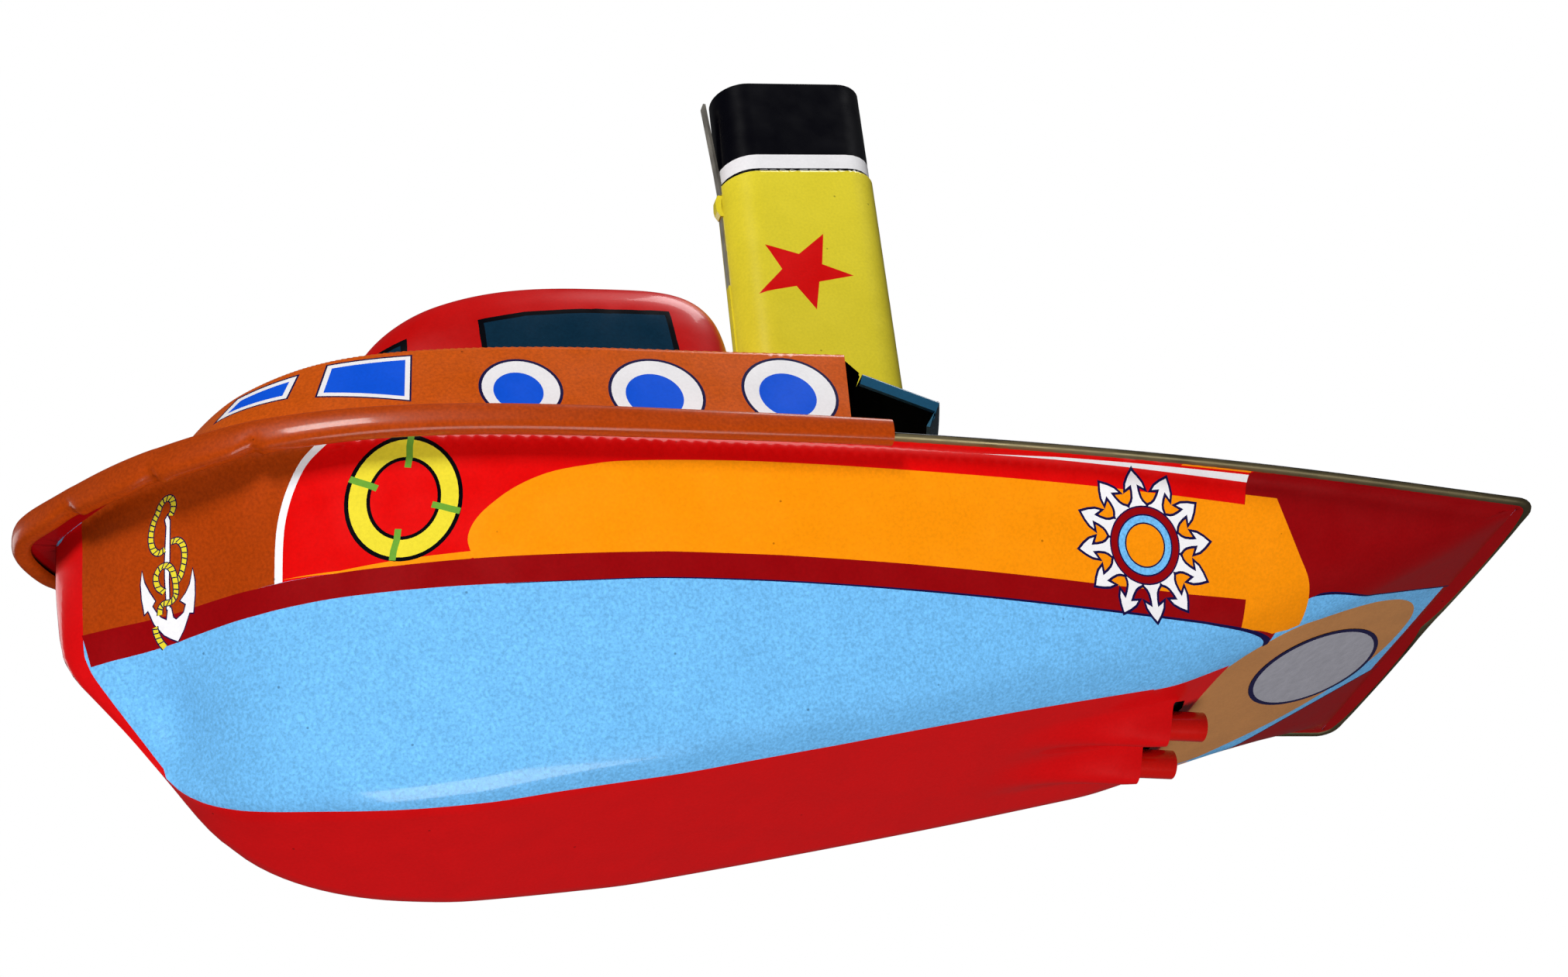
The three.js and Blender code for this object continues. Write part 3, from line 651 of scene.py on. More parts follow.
# Slots of the hull, in the order of HULL_SLOTS: 0 light blue, 1 orange darkened as painted shade, 2 amber, 3
# red,
# 4 maroon, 5 bottom red, 6 light blue, 7 white, 8 navy, 9 black, also the painted shade round the tube
# mouths, 10 yellow,
# 11 green, 12 amber greyed and darkened as painted reflection and shade, 13 inside, 14 cut edge, 15 light
# blue of the bilge, which is bottom red on the starboard half.


def stripe_between(start, end):
    return [p for p in STRIPE_TOP if start < p[0] < end]


def hull_regions():
    """The print of the hull, in painting order: (slot, outline on the sheet)."""
    red = [side_uv(x, z) for x, z in dense([(3.8, -0.45)] + smooth_line(STEM_EDGE), 0.8, False)]
    chine = []
    for x in np.arange(14.8, 101.9, 1.0):
        share = np.interp(x, [15, 22, 45, 70, 102], [0.66, 0.7, 0.78, 0.93, 0.97])
        chine.append((float(hull_u(x)), SIDE + TURN * float(share)))
    regions = []

    def paint(slot, outline):
        regions.append((slot, outline))

    def flat(slot, outline, step=0.7):
        paint(slot, [side_uv(x, z) for x, z in dense(outline, step)])

    def below(line, closed=True):
        return [bottom_uv(x, y) for x, y in dense(line, 0.8, closed)]

    # the transom's amber is greyed and darkened, a painted reflection and shade
    paint(12, [bottom_uv(x, y) for x, y in TRANSOM_GREYED_AMBER])
    aft = [(102.5, 10.4), (106, 10.4), (109.8, 10.3), (109.4, 8), (109.1, 5), (108.9, 0)]
    paint(5, red + chine + below(aft, False) + [(0, CENTRE), (0, 0)])
    paint(15, [(u, SIDE + TURN * 0.45) for u, _ in chine] + chine[::-1])
    paint(15, below([(101.5, 10.4), (106, 10.4), (109.8, 10.3), (111.5, 14.4), (106, 13.9), (101.5, 13.6)]))
    corners = ((135.9, SIDE + 1.5), (136.2, CENTRE), (STERN_X, CENTRE), (STERN_X, SIDE + 1.5))
    paint(4, [(float(hull_u(x)), v) for x, v in corners])
    # the bow takes the darkened orange, which is painted shade
    bow = [(5.75, FLANGE_Z)] + smooth_line(STEM_EDGE)[:26] + stripe_between(6.3, 22)
    flat(1, bow + [(23, -11.1), (26, FLANGE_Z)])
    flat(3, smooth_line(FIELD_EDGE) + stripe_between(22, 200) + [(109.1, FLANGE_Z)])
    side = [(113.2, -11.0), (112, -11.2), (110.5, -11.15), (108.06, -8)]
    side += [(x, FLANGE_Z) for x in (108.06, 120, 136.94)]
    corner = below([(136.94, 8.2)] + smooth_line(STERN_LINE)[::-1], False)
    paint(4, [side_uv(x, z) for x, z in dense(side, 0.8, False)] + corner)
    amber = smooth_line([(37.3, -10.7), (36.75, -9.2), (37.2, -7.8), (38.4, -6.5), (40.6, -4.95),
                         (43.4, -3.75), (46.7, -3.05), (50, -2.62), (57, -2.3), (64, -2.2), (78, -2.25),
                         (90, -2.3), (100, -2.4), (108.1, -2.5)])
    amber.append((108.1, -1.75))
    amber.append((111.35, -1.75))
    amber += smooth_line([(111.35, -1.75), (112.5, -3.3), (114.2, -5.5), (115.5, -7.1), (116.0, -8.3),
                          (116.1, -9.55)])
    amber += [(114.8, -10.1), (113, -10.75), (110, -11.25), (107, -11.4), (107, -10)]
    amber += stripe_between(38, 108)[::-1]
    flat(2, amber)
    sliver = [(21.9, -10.9), (26.5, -10.98), (31, -10.55), (37, -10.1), (40, -9.9)]
    flat(2, sliver + stripe_between(20, 40)[::-1])
    flat(7, ribbon(smooth_line([(a - 0.15, b) for a, b in FIELD_EDGE]), 0.62))
    flat(7, [(82, -0.62), (89, -0.5), (96, -0.47), (108.1, -0.47), (108.1, -0.86), (101, -0.76), (96, -0.68),
             (89, -0.62)])
    flat(4, STRIPE_TOP + STRIPE_BOTTOM[::-1])
    line = smooth_line(NAVY_LINE)
    flat(8, ribbon(line, np.interp(np.linspace(0, 1, len(line)), [0, 0.5, 1], [0.05, 0.18, 0.2])))
    paint(8, [bottom_uv(x, y) for x, y in ribbon(smooth_line(STERN_LINE), 0.2)])
    print_lifebuoy(flat)
    print_helm(flat)
    print_anchor(flat)
    return regions


def print_lifebuoy(flat):
    bx, bz = 31.4, -5.65
    for slot, rx, rz in ((9, 4.85, 5.42), (10, 4.5, 5.07), (9, 3.05, 3.57), (3, 2.75, 3.27)):
        flat(slot, motif(bx, bz, disc(0, 0, rx, rz)), 9)
    for angle in (85, 158, -14, -99):
        a = math.radians(angle)
        line = [(r * math.cos(a) * 0.9, r * math.sin(a)) for r in (2.65, 3.6, 4.5, 5.35)]
        wavy = [(x + 0.06 * math.sin(i * 2), y) for i, (x, y) in enumerate(line)]
        flat(11, motif(bx, bz, ribbon(wavy, 0.55)), 9)


def print_helm(flat):
    """Twelve arrow-headed spokes round a hub."""
    hx, hz = 98.25, -6.42
    shaft = [(3.2, -0.95), (3.6, -0.82), (3.9, -0.55), (4.25, -0.39), (4.8, -0.31), (5.4, -0.31),
             (5.0, -0.98), (5.55, -0.85), (6.15, -0.48), (6.72, 0)]
    arrow = shaft + [(x, -y) for x, y in shaft[-2::-1]]
    for slot, grow in ((8, 0.2), (7, -0.03)):
        for i in range(12):
            spoke = turned(grown(arrow, grow), math.radians(30 * i + 8.8))
            flat(slot, motif(hx, hz, spoke, 0.12), 9)
    for slot, r in ((8, 3.56), (4, 3.42), (8, 2.8), (6, 2.66), (8, 2.04), (2, 1.9)):
        flat(slot, motif(hx, hz, disc(0, 0, r), 0.06), 9)


def print_anchor(flat):
    """An anchor with a rope round its shank."""
    ax, az = 12.75, -7.0
    shank = [(-0.16, 3.75), (0.04, 3.34), (0.22, 0.41), (0.28, -1.02), (0.51, -3.26), (0.3, -3.24),
             (-0.02, -0.93), (-0.13, 0.51), (-0.18, 2.94), (-0.33, 3.49)]
    flukes = [(-1.91, 0.09), (-1.94, -0.84), (-1.76, -2.07), (-1.48, -3.19), (-1.22, -2.96), (-0.64, -4.1),
              (0.21, -5.06), (1.35, -5.8), (1.75, -5.09), (2.1, -3.96), (2.4, -4.08), (2.43, -2.82),
              (2.34, -1.74), (2.13, -0.83), (1.99, -1.87), (1.74, -2.38), (1.33, -2.85), (1.79, -3.25),
              (1.65, -3.83), (1.09, -4.17), (0.83, -3.94), (0.61, -3.17), (0.38, -3.14), (0.34, -4.04),
              (-0.17, -3.71), (-0.62, -3.17), (-0.91, -2.73), (-0.71, -2.38), (-1.25, -1.57), (-1.66, -0.81)]
    ropes = [
        [(0.09, 3.68), (0.27, 4.28), (0.06, 4.9), (-0.38, 5.03), (-0.76, 4.69), (-0.98, 4.11), (-1.22, 3.59),
         (-1.35, 2.96), (-1.35, 2.22), (-1.1, 1.5), (-0.65, 1.13), (-0.2, 1.3)],
        [(0.27, 1.71), (0.8, 1.67), (1.23, 1.17), (1.41, 0.47), (1.38, -0.22), (1.21, -1.0), (0.92, -1.38)],
        [(-0.01, -1.88), (-0.55, -1.39), (-0.77, -0.6), (-0.47, 0.0), (0.06, 0.04), (0.47, -0.37),
         (0.78, -1.17), (0.91, -1.91), (0.89, -2.43), (0.56, -2.75), (0.03, -2.74), (-0.23, -2.99),
         (-0.24, -3.52)],
        [(-0.57, -4.33), (-0.42, -4.81), (-0.08, -5.44), (0.35, -5.98)],
    ]

    def laid(slot, outline):
        flat(slot, [(ax + x, az + z) for x, z in outline], 9)

    for slot, grow in ((8, 0.09), (7, 0.0)):
        laid(slot, grown(shank, grow))
        laid(slot, grown(flukes, grow))
    for line in ropes:
        rope = smooth_line(line, 5)
        laid(8, ribbon(rope, 0.52))
        laid(10, ribbon(rope, 0.36))
        for i in range(2, len(rope) - 2, 3):
            (x0, y0), (x1, y1) = rope[i : i + 2]
            d = unit(np.array([x1 - x0, y1 - y0]))
            dx, dy = d[0] * 0.08 - d[1] * 0.18, d[1] * 0.08 + d[0] * 0.18
            laid(8, ribbon([(x0 + dx, y0 + dy), (x0 - dx, y0 - dy)], 0.09))


# outline of the transom's greyed amber, which is painted reflection and shade
GREYED_AMBER_EDGE = [(109.3, 9.6), (110, 10.1), (111.5, 11.5), (114, 12.6), (116.7, 13.15), (119.6, 13.0),
            (123.3, 12.4), (126.7, 11.4), (130.4, 9.4), (133.3, 6.6), (134.9, 3.4), (135.3, 0)]
TRANSOM_GREYED_AMBER = [(106.5, 0), (107, 9)] + smooth_line(GREYED_AMBER_EDGE)
HULL_SLOTS = [SKY, SHADED_ORANGE, AMBER, RED, MAROON, BOTTOM_RED, SKY, WHITE,
              NAVY, BLACK, YELLOW, GREEN, GREYED_AMBER, INSIDE_TIN, EDGE_TIN, SKY]
FLANGE_END, CORNER = 136.4, 2.4
EXIT_Z = KNEE_Z + REST_SLOPE * (TUBE_END - KNEE_X) + TUBE_R


def outline_of(half, inset, stations):
    """Plan outline moved inwards by inset, as (x, y) arrays."""
    x = np.asarray(stations, float)
    lo, hi = np.maximum(x - 1e-3, 0), x + 1e-3
    slope_x, slope_y = hi - lo, half(hi) - half(lo)
    length = np.hypot(slope_x, slope_y)
    return x + slope_y / length * inset, np.maximum(half(x) - slope_x / length * inset, 0)


def painted_mouth_shade(p):
    """The sheet over the tube mouth, where the inner skin is painted black as the shade in the recess."""
    return np.hypot((p[0] - MOUTH_X - 0.5) / 4.5, (p[1] - TUBE_Y) / 3.6) < 1 and p[2] < -8


def hull_piece():
    sheet = Mesh()
    end = float(hull_u(STERN_X))
    us = np.linspace(0, end, 118)
    vs = steps((0, 2, SIDE, CHINE, CENTRE), (5, 21, 6, 10))
    half = [(-0.02, -2.9), (0.5, -2.3), (1.8, -1.7), (2.3, 0)]
    opening = [(MOUTH_X + a, TUBE_Y + b) for a, b in half + [(a, -b) for a, b in half[2::-1]]]
    mouth = [bottom_uv(x, y) for x, y in dense(opening, 0.3)]
    scoop = np.arange(SCOOP_X + 0.5, MOUTH_X - 0.2, 0.55)
    fine = [bottom_uv(x, y) for x in scoop for y in np.arange(0.2, 7.5, 0.42)]
    sheet.printed(hull_lift, us, vs, 1, hull_regions(), holes=[mouth], extra=fine)

    def inside(u, v):
        return hull_lift(u, v, 0)

    # the inner skin starts behind the stem, has no louvre and is painted black round the mouth as the shade
    # in the recess over the tube
    a, b = float(hull_u(103.0)), float(hull_u(109.5))
    runs = (2.2, a, 56), (a + 0.35, b, 18), (b + 1, end - 0.5, 14)
    inner_u = np.concatenate([np.linspace(*run) for run in runs])
    inner_v = steps((0.3, SIDE, CHINE, CENTRE), (15, 5, 15))
    whole = (0, end), (0, CENTRE)
    sheet.grid(inside, inner_u, inner_v, 1, 13, -GAUGE, whole, lambda p: painted_mouth_shade(p) or p[0] < 20)
    sheet.grid(inside, inner_u, inner_v, 1, 9, -GAUGE, whole, lambda p: not painted_mouth_shade(p))
    stations = np.concatenate([np.linspace(0, 1, 20) ** 2 * 20, np.linspace(20, FLANGE_END, 90)[1:]])
    rim = [(float(x), float(y)) for x, y in zip(*outline_of(deck_half, 0.6, stations))]
    for a in np.linspace(0, math.pi / 2, 8)[1:]:
        y = deck_half(FLANGE_END) - 0.6 - CORNER * (1 - math.cos(a))
        rim.append((FLANGE_END + CORNER * math.sin(a), float(y)))
    wall = [(float(x), float(y)) for x, y in hull_lift(us, np.zeros_like(us))[:, :2]]
    flange(sheet, rim + [(FLANGE_END + CORNER, 0.0)], wall + [(STERN_X, 0.0)])
    sheet.mirrored({15: 5})
    sheet.piece("hull_skin", HULL_SLOTS, BOAT, ["hull"])


def flange_slot(x):
    """Colour of the print under the flange, which follows the side below it."""
    if x < 6.5 or x > 108.3:
        return 4
    if x < 25:
        return 1
    return 2 if 101 <= x <= 108 else 3


def flange(sheet, rim, wall):
    """Flat flange between two plan lines, with a bare rounded hem outside and print below."""
    rim_line, wall_line = np.array(rim), np.array(wall)
    count = 260
    length = np.concatenate([[0], np.cumsum(np.linalg.norm(np.diff(rim_line, axis=0), axis=1))])
    at = np.linspace(0, length[-1], count)
    outer = np.stack([np.interp(at, length, rim_line[:, k]) for k in (0, 1)], -1)
    nearest = np.array([np.argmin(np.linalg.norm(wall_line - p, axis=1)) for p in outer])
    inner = wall_line[np.maximum.accumulate(nearest)]
    along = unit(np.gradient(outer, axis=0))
    out = np.stack([along[:, 1], -along[:, 0]], -1)
    out = np.where((np.sum(out * (outer - inner), 1) < 0)[:, None], -out, out)
    inner = inner - out * GAUGE
    inner[:, 1] = np.maximum(inner[:, 1], 0)
    wide = np.linalg.norm(outer - inner, axis=1)[:, None]
    # from the outer line or not, inset from it, height, normal outwards and upwards, slot up to here
    profile = [(0, 0, FLANGE_Z, 0, -1, 4), (1, 0.85, FLANGE_Z, 0, -1, 4),
               (1, 0.8, FLANGE_Z - 0.12, 0, -1, 14), (1, 0.3, FLANGE_Z - 0.16, 0.3, -1, 14),
               (1, 0.06, FLANGE_Z, 0.9, -0.5, 14), (1, 0, FLANGE_Z + 0.18, 1, 0, 14),
               (1, 0.04, -0.12, 0.9, 0.4, 9), (1, 0.22, 0.03, 0.4, 0.9, 9), (1, 0.55, 0.04, 0, 1, 9),
               (1, 0.95, 0, 0, 1, 13), (0, 0, 0, 0, 1, 13)]
    rings, normals = [], []
    for from_outer, inset, z, facing, up, _ in profile:
        share = np.minimum(inset / np.maximum(wide, 1e-3), 1) if from_outer else 1
        base = outer - (outer - inner) * share
        rings.append(np.concatenate([base, np.full((count, 1), z)], 1))
        normals.append(unit(np.concatenate([out * facing, np.full((count, 1), float(up))], 1)))
    for k in range(len(profile) - 1):
        slots = profile[k + 1][5] if k else [flange_slot(p[0]) for p in outer[:-1]]
        sheet.add(np.concatenate(rings[k : k + 2]), band(count), np.concatenate(normals[k : k + 2]), slots)


hull_piece()

# ---- tubes -------------------------------------------------------------------------------------


def sweep(sheet, path, radius, slot, sides=28, inside=False):
    """A round tube along a path of deck-frame points; gives back its first and last ring."""
    path = np.asarray(path, float)
    along = unit(np.gradient(path, axis=0))
    side = np.tile([0.0, 1.0, 0.0], (len(path), 1))
    up = unit(np.cross(along, side))
    angles = np.linspace(0, 2 * math.pi, sides + 1)[None, :, None]
    radii = np.broadcast_to(np.asarray(radius, float), (len(path),))
    normals = up[:, None, :] * np.cos(angles) + side[:, None, :] * np.sin(angles)
    points = path[:, None, :] + normals * radii[:, None, None]
    facing = (-normals if inside else normals).reshape(-1, 3)
    sheet.add(points.reshape(-1, 3), quads(len(path), sides + 1), facing, slot)
    return points[0], points[-1]


def ring_cap(sheet, outer, inner, facing, slot):
    """A flat face between two rings."""
    normals = np.tile(unit(np.asarray(facing, float)), (2 * len(outer), 1))
    sheet.add(np.concatenate([outer, inner]), band(len(outer)), normals, slot)


BOILER_FRONT = 43.0


def spline3(points, per):
    """Centripetal Catmull-Rom curve through points in space."""
    p = np.array(points, float)
    p = np.concatenate([[2 * p[0] - p[1]], p, [2 * p[-1] - p[-2]]])
    result = []
    for a, b, c, d in zip(p, p[1:], p[2:], p[3:]):
        t0, t1 = 0.0, np.linalg.norm(b - a) ** 0.5
        t2 = t1 + np.linalg.norm(c - b) ** 0.5
        t3 = t2 + np.linalg.norm(d - c) ** 0.5
        for t in np.linspace(t1, t2, per, endpoint=False):
            a1 = (t1 - t) / (t1 - t0) * a + (t - t0) / (t1 - t0) * b
            a2 = (t2 - t) / (t2 - t1) * b + (t - t1) / (t2 - t1) * c
            a3 = (t3 - t) / (t3 - t2) * c + (t - t2) / (t3 - t2) * d
            b1 = (t2 - t) / (t2 - t0) * a1 + (t - t0) / (t2 - t0) * a2
            b2 = (t3 - t) / (t3 - t1) * a2 + (t - t1) / (t3 - t1) * a3
            result.append((t2 - t) / (t2 - t1) * b1 + (t - t1) / (t2 - t1) * b2)
    result.append(p[-2])
    return np.array(result)


def tube_path(y):
    """From the boiler down to the bottom and along it to the mouth."""
    rest = (0.5 + 0.3 + TUBE_R) / math.cos(math.atan(BOTTOM_SLOPE))

    def floor(x):
        return float(bottom_z(np.array(float(x)))) + rest

    start = BOILER_FRONT - 0.3
    points = [(start, -4.2), (start - 2.5, -4.4), (38, -7), (36.8, -12), (36.8, -19), (38.4, -24),
              (42, floor(42) + 0.4)]
    points += [(x, floor(x)) for x in (46, 58, 74, 88)]
    points += [(94, EXIT_Z + 0.02), (100, EXIT_Z), (TUBE_END, EXIT_Z)]
    return spline3([(x, y, z) for x, z in points], 9)


def tube_piece(side, y):
    """The tube, its cut end and its bore, which is lined with dark tin as painted shade."""
    sheet = Mesh()
    path = tube_path(y)
    first, _ = sweep(sheet, path, TUBE_R, 0)
    angle = np.linspace(0, 2 * np.pi, 29)
    end = path[-1]
    outer, lip = (
        np.stack([np.full(29, end[0]), end[1] + np.sin(angle) * r, end[2] + np.cos(angle) * r], -1)
        for r in (TUBE_R, TUBE_BORE)
    )
    ring_cap(sheet, outer, lip, (1, 0, 0), 1)
    # the bore's dark tin is painted shade inside the tube
    sweep(sheet, np.array([end - (7, 0, 0), end - (3, 0, 0), end]), TUBE_BORE, 2, inside=True)
    ring_cap(sheet, first, np.repeat(path[:1], 29, 0), path[0] - path[1], 1)
    sheet.piece(f"tube_{side}", [TUBE_RED, PLAIN_TIN, DARK_TIN], BOAT, [f"exhaust_tube_{side}"])


tube_piece("port", -TUBE_Y)
tube_piece("starboard", TUBE_Y)

# ---- foredeck, rolled rim and cabin -----------------------------------------------------------

RIM_END, RIM_TOP, RIM_INSET = 73.2, 1.2, 0.9
FOOT_START, FOOT_RUN, FOOT_Z, FOOT_ROUND = 9.8, 61.6, 1.0, 0.7
SHOULDER_START, SHOULDER_RUN, SHOULDER_ROUND = 14.0, 58.5, 0.8
# the cabin sheet runs over the bead, in over the deck, up the wall and in over the roof
BEAD, DECK, FOOT, WALL, SHOULDER, ROOF = 7.0, 10.0, 11.0, 22.0, 23.4, 42.0
cabin_foot = blunt([(9.8, 0), (12, 7.4), (16, 12.6), (22, 16.2), (30, 18.6), (45, 20.2), (72.5, 21.3)])
cabin_shoulder = blunt([(14, 0), (15.6, 6.6), (18.5, 11), (24.5, 14.7), (32, 16.8), (45, 18.1), (72.5, 19)])
cabin_top_z = through([(14, 8.6), (18.5, 9.6), (24.5, 10.9), (32, 11.7), (45, 12.6), (60, 13.2),
                       (72.5, 13.8)])
rim_low = through([(0, -1.45), (4, -1.7), (10, -2.1), (18, -2.0), (30, -1.65), (50, -1.5), (72.5, -1.15)])
# dents of the rim round the bow: where, and how far they lift its lower edge
PUCKERS = ((4.2, 0.75), (10.6, 0.7), (18.6, 0.7))


def cabin_lift(u, v):
    """u crowds the stations at the bow, v goes from the bead to the centre of the roof."""
    t = u / 100
    ex = RIM_END * t * t
    lo, hi = np.maximum(t - 1e-3, 0), t + 1e-3
    gx, gy = RIM_END * (hi * hi - lo * lo), deck_half(RIM_END * hi * hi) - deck_half(RIM_END * lo * lo)
    norm = np.hypot(gx, gy)
    nx, ny = -gy / norm, gx / norm
    ey = deck_half(ex)
    zb = rim_low(ex)
    swell = 0 * ex
    for at, depth in PUCKERS:
        lean = (ex - at) / np.where(ex > at, 0.35, 1.3)
        zb = zb + depth * np.exp(-lean * lean) * 0.8
        swell = swell - 0.22 * np.exp(-(((ex - at) / 0.7) ** 2))
    # the bead is a squared oval
    a = np.radians(-150 + 240 * ramp(v, 0, BEAD))
    ca, sa = np.cos(a), np.sin(a)
    power = 2 / 2.7
    o = RIM_INSET * (np.sign(ca) * np.abs(ca) ** power - 1) + swell * np.maximum(-sa, 0)
    mid, tall = (RIM_TOP + zb) / 2, (RIM_TOP - zb) / 2
    bead = np.stack([ex + nx * o, np.maximum(ey + ny * o, 0), mid + tall * np.sign(sa) * np.abs(sa) ** power],
                    -1)
    # corner lines of the deck and the cabin
    top = np.stack([ex - nx * RIM_INSET, np.maximum(ey - ny * RIM_INSET, 0), RIM_TOP + 0 * ex], -1)
    fx = FOOT_START + FOOT_RUN * t * t
    sx = SHOULDER_START + SHOULDER_RUN * t * t
    foot = np.stack([fx, cabin_foot(fx), FOOT_Z + 0 * fx], -1)
    shoulder = np.stack([sx, cabin_shoulder(sx), cabin_top_z(sx)], -1)
    wall_dir = unit(shoulder - foot)
    near = foot - unit(foot - top) * FOOT_ROUND
    up = foot + wall_dir * FOOT_ROUND
    high = shoulder - wall_dir * SHOULDER_ROUND
    fade = np.exp(-5 * t)
    reach = 0.06

    def roof_at(c):
        x = shoulder[..., 0] + 3 * fade * c
        return np.stack([x, shoulder[..., 1] * (1 - c), shoulder[..., 2] + 1.1 * c * (2 - c)], -1)

    v = v[..., None]
    flat = top + (near - top) * ramp(v, BEAD, DECK)
    base = bezier(ramp(v, DECK, FOOT), near, foot, up)
    side = up + (high - up) * ramp(v, FOOT, WALL)
    bend = bezier(ramp(v, WALL, SHOULDER), high, shoulder, roof_at(reach + 0 * t))
    roof = roof_at(reach + (1 - reach) * ramp(v[..., 0], SHOULDER, ROOF))
    stretches = [v <= mark for mark in (BEAD, DECK, FOOT, WALL, SHOULDER)]
    return np.select([np.broadcast_to(s, bead.shape) for s in stretches], [bead, flat, base, side, bend],
                     roof)


def wall_uv(x, z):
    """Where the point of the cabin wall at (x, z) is on the sheet."""
    r = 0.5
    for _ in range(12):
        start = FOOT_START + (SHOULDER_START - FOOT_START) * r
        tau = min(max((x - start) / (FOOT_RUN - (FOOT_RUN - SHOULDER_RUN) * r), 0), 1)
        r = (z - FOOT_Z) / (float(cabin_top_z(SHOULDER_START + SHOULDER_RUN * tau)) - FOOT_Z)
    fx, sx = FOOT_START + FOOT_RUN * tau, SHOULDER_START + SHOULDER_RUN * tau
    foot = fx, float(cabin_foot(fx)), FOOT_Z
    length = math.dist(foot, (sx, float(cabin_shoulder(sx)), float(cabin_top_z(sx))))
    share = (r * length - FOOT_ROUND) / (length - FOOT_ROUND - SHOULDER_ROUND)
    if share <= 1:
        return 100 * math.sqrt(tau), FOOT + (WALL - FOOT) * share
    return 100 * math.sqrt(tau), WALL + (SHOULDER - WALL) * min((share - 1) * length / 0.9, 1) * 0.6


def cabin_piece():
    sheet = Mesh()
    # the rim bead takes the darkened orange, which is painted shade
    regions = [(6, [(0, 0), (100, 0), (100, BEAD), (0, BEAD)])]

    def paint(slot, outline, step=0.6):
        regions.append((slot, [wall_uv(x, z) for x, z in dense(outline, step)]))

    for x, z, ring, glass in ((42.0, 6.75, 3.72, 2.2), (54.15, 6.9, 4.4, 2.62), (66.5, 7.95, 4.5, 2.65)):
        paint(3, disc(x, z, ring), 9)
        paint(2, disc(x, z, ring - 0.28), 9)
        paint(1, disc(x - 0.25, z - 0.3, glass, glass * 1.05), 9)
    for outline in ([(16.25, 6.9), (18.2, 9.0), (23.3, 9.75), (22.2, 6.75)],
                    [(24.4, 6.35), (25.5, 10.35), (32.8, 10.85), (32.4, 5.0)]):
        paint(3, outline)
        paint(2, grown(outline, -0.16))
        paint(1, grown(outline, -0.58))
    us = steps((0, 45, 100), (60, 64))
    vs = steps((0, BEAD, DECK, FOOT, WALL, SHOULDER, ROOF), (15, 4, 4, 14, 5, 10))
    sheet.printed(cabin_lift, us, vs, -1, regions)
    whole = (0, 100), (0, ROOF)
    sheet.grid(cabin_lift, np.linspace(3, 100, 60), np.linspace(BEAD, ROOF, 40), -1, 4, -GAUGE, whole)
    sheet.edge(cabin_lift, 100, np.linspace(0, ROOF, 90), -1, 5, GAUGE, (1, 0, 0))
    sheet.edge(cabin_lift, np.linspace(0, 100, 90), 0, -1, 0, 0.3, (0, 0, -1))
    sheet.mirrored()
    prints = [ORANGE, ROYAL, WHITE, NAVY, DARK_TIN, EDGE_TIN, SHADED_ORANGE]
    sheet.piece("deck_and_cabin", prints, BOAT, ["deck_cabin"])


cabin_piece()

# ---- wheelhouse -------------------------------------------------------------------------------

HOUSE_START, HOUSE_END, HOUSE_HALF, HOUSE_FOOT, HOUSE_MIDDLE = 28.0, 66.2, 12.0, 8.0, 49.0
# level, how far the outline has drawn in there, and its share of the height
LEVELS = [(0, 0, 0), (1, 0.5, 0.55), (2, 1.0, 0.76), (3, 1.9, 0.88), (4, 3.3, 0.955), (5, 5.2, 0.99),
          (6, 8, 1.01)]
house_roof = through([(28, 18.8), (30.5, 21.0), (34, 23.0), (37, 24.2), (42, 25.6), (47, 26.5), (53, 27.1),
                      (59, 27.4), (66, 27.2)])
house_shrink = through([(a, b) for a, b, _ in LEVELS])
house_rise = through([(a, c) for a, _, c in LEVELS])


def house_lift(u, v):
    """u is the angle from the stern round to the bow, v the level from the foot to the crown."""
    level = np.clip(v, 0, 6)
    shrink = house_shrink(level)
    split = HOUSE_START + (HOUSE_END - HOUSE_START) * 0.62
    ca, sa = np.cos(u), np.sin(u)
    forward = np.clip(0.5 - ca / 0.5, 0, 1)
    forward = forward * forward * (3 - 2 * forward)
    reach = np.where(ca < 0, split - HOUSE_START, HOUSE_END - split) - shrink
    x_power = np.where(ca < 0, 2 / 3.1, 2 / 5)
    y_power = 2 / 4 + (2 / 3.1 - 2 / 4) * forward
    x = split + reach * np.sign(ca) * np.abs(ca) ** x_power
    y = (HOUSE_HALF - shrink * 0.8) * np.abs(sa) ** y_power
    z = HOUSE_FOOT + (house_roof(x) - HOUSE_FOOT) * house_rise(level)
    close = np.clip(v - 6, 0, 1)
    x, y = x + (HOUSE_MIDDLE - x) * close, y * (1 - close)
    crown = HOUSE_FOOT + (house_roof(x) - HOUSE_FOOT) * LEVELS[-1][2]
    return np.stack([x, y, np.where(v > 6, crown, z)], -1)


def house_uv(x, z):
    """The wheelhouse side point at (x, z), by search."""
    us, vs = np.meshgrid(np.linspace(0.02, math.pi - 0.02, 900), np.linspace(0.05, 5, 400), indexing="ij")
    p = house_lift(us, vs)
    i = np.argmin((p[..., 0] - x) ** 2 + (p[..., 2] - z) ** 2 + 0.0005 * (HOUSE_HALF - p[..., 1]) ** 2)
    return float(us.ravel()[i]), float(vs.ravel()[i])


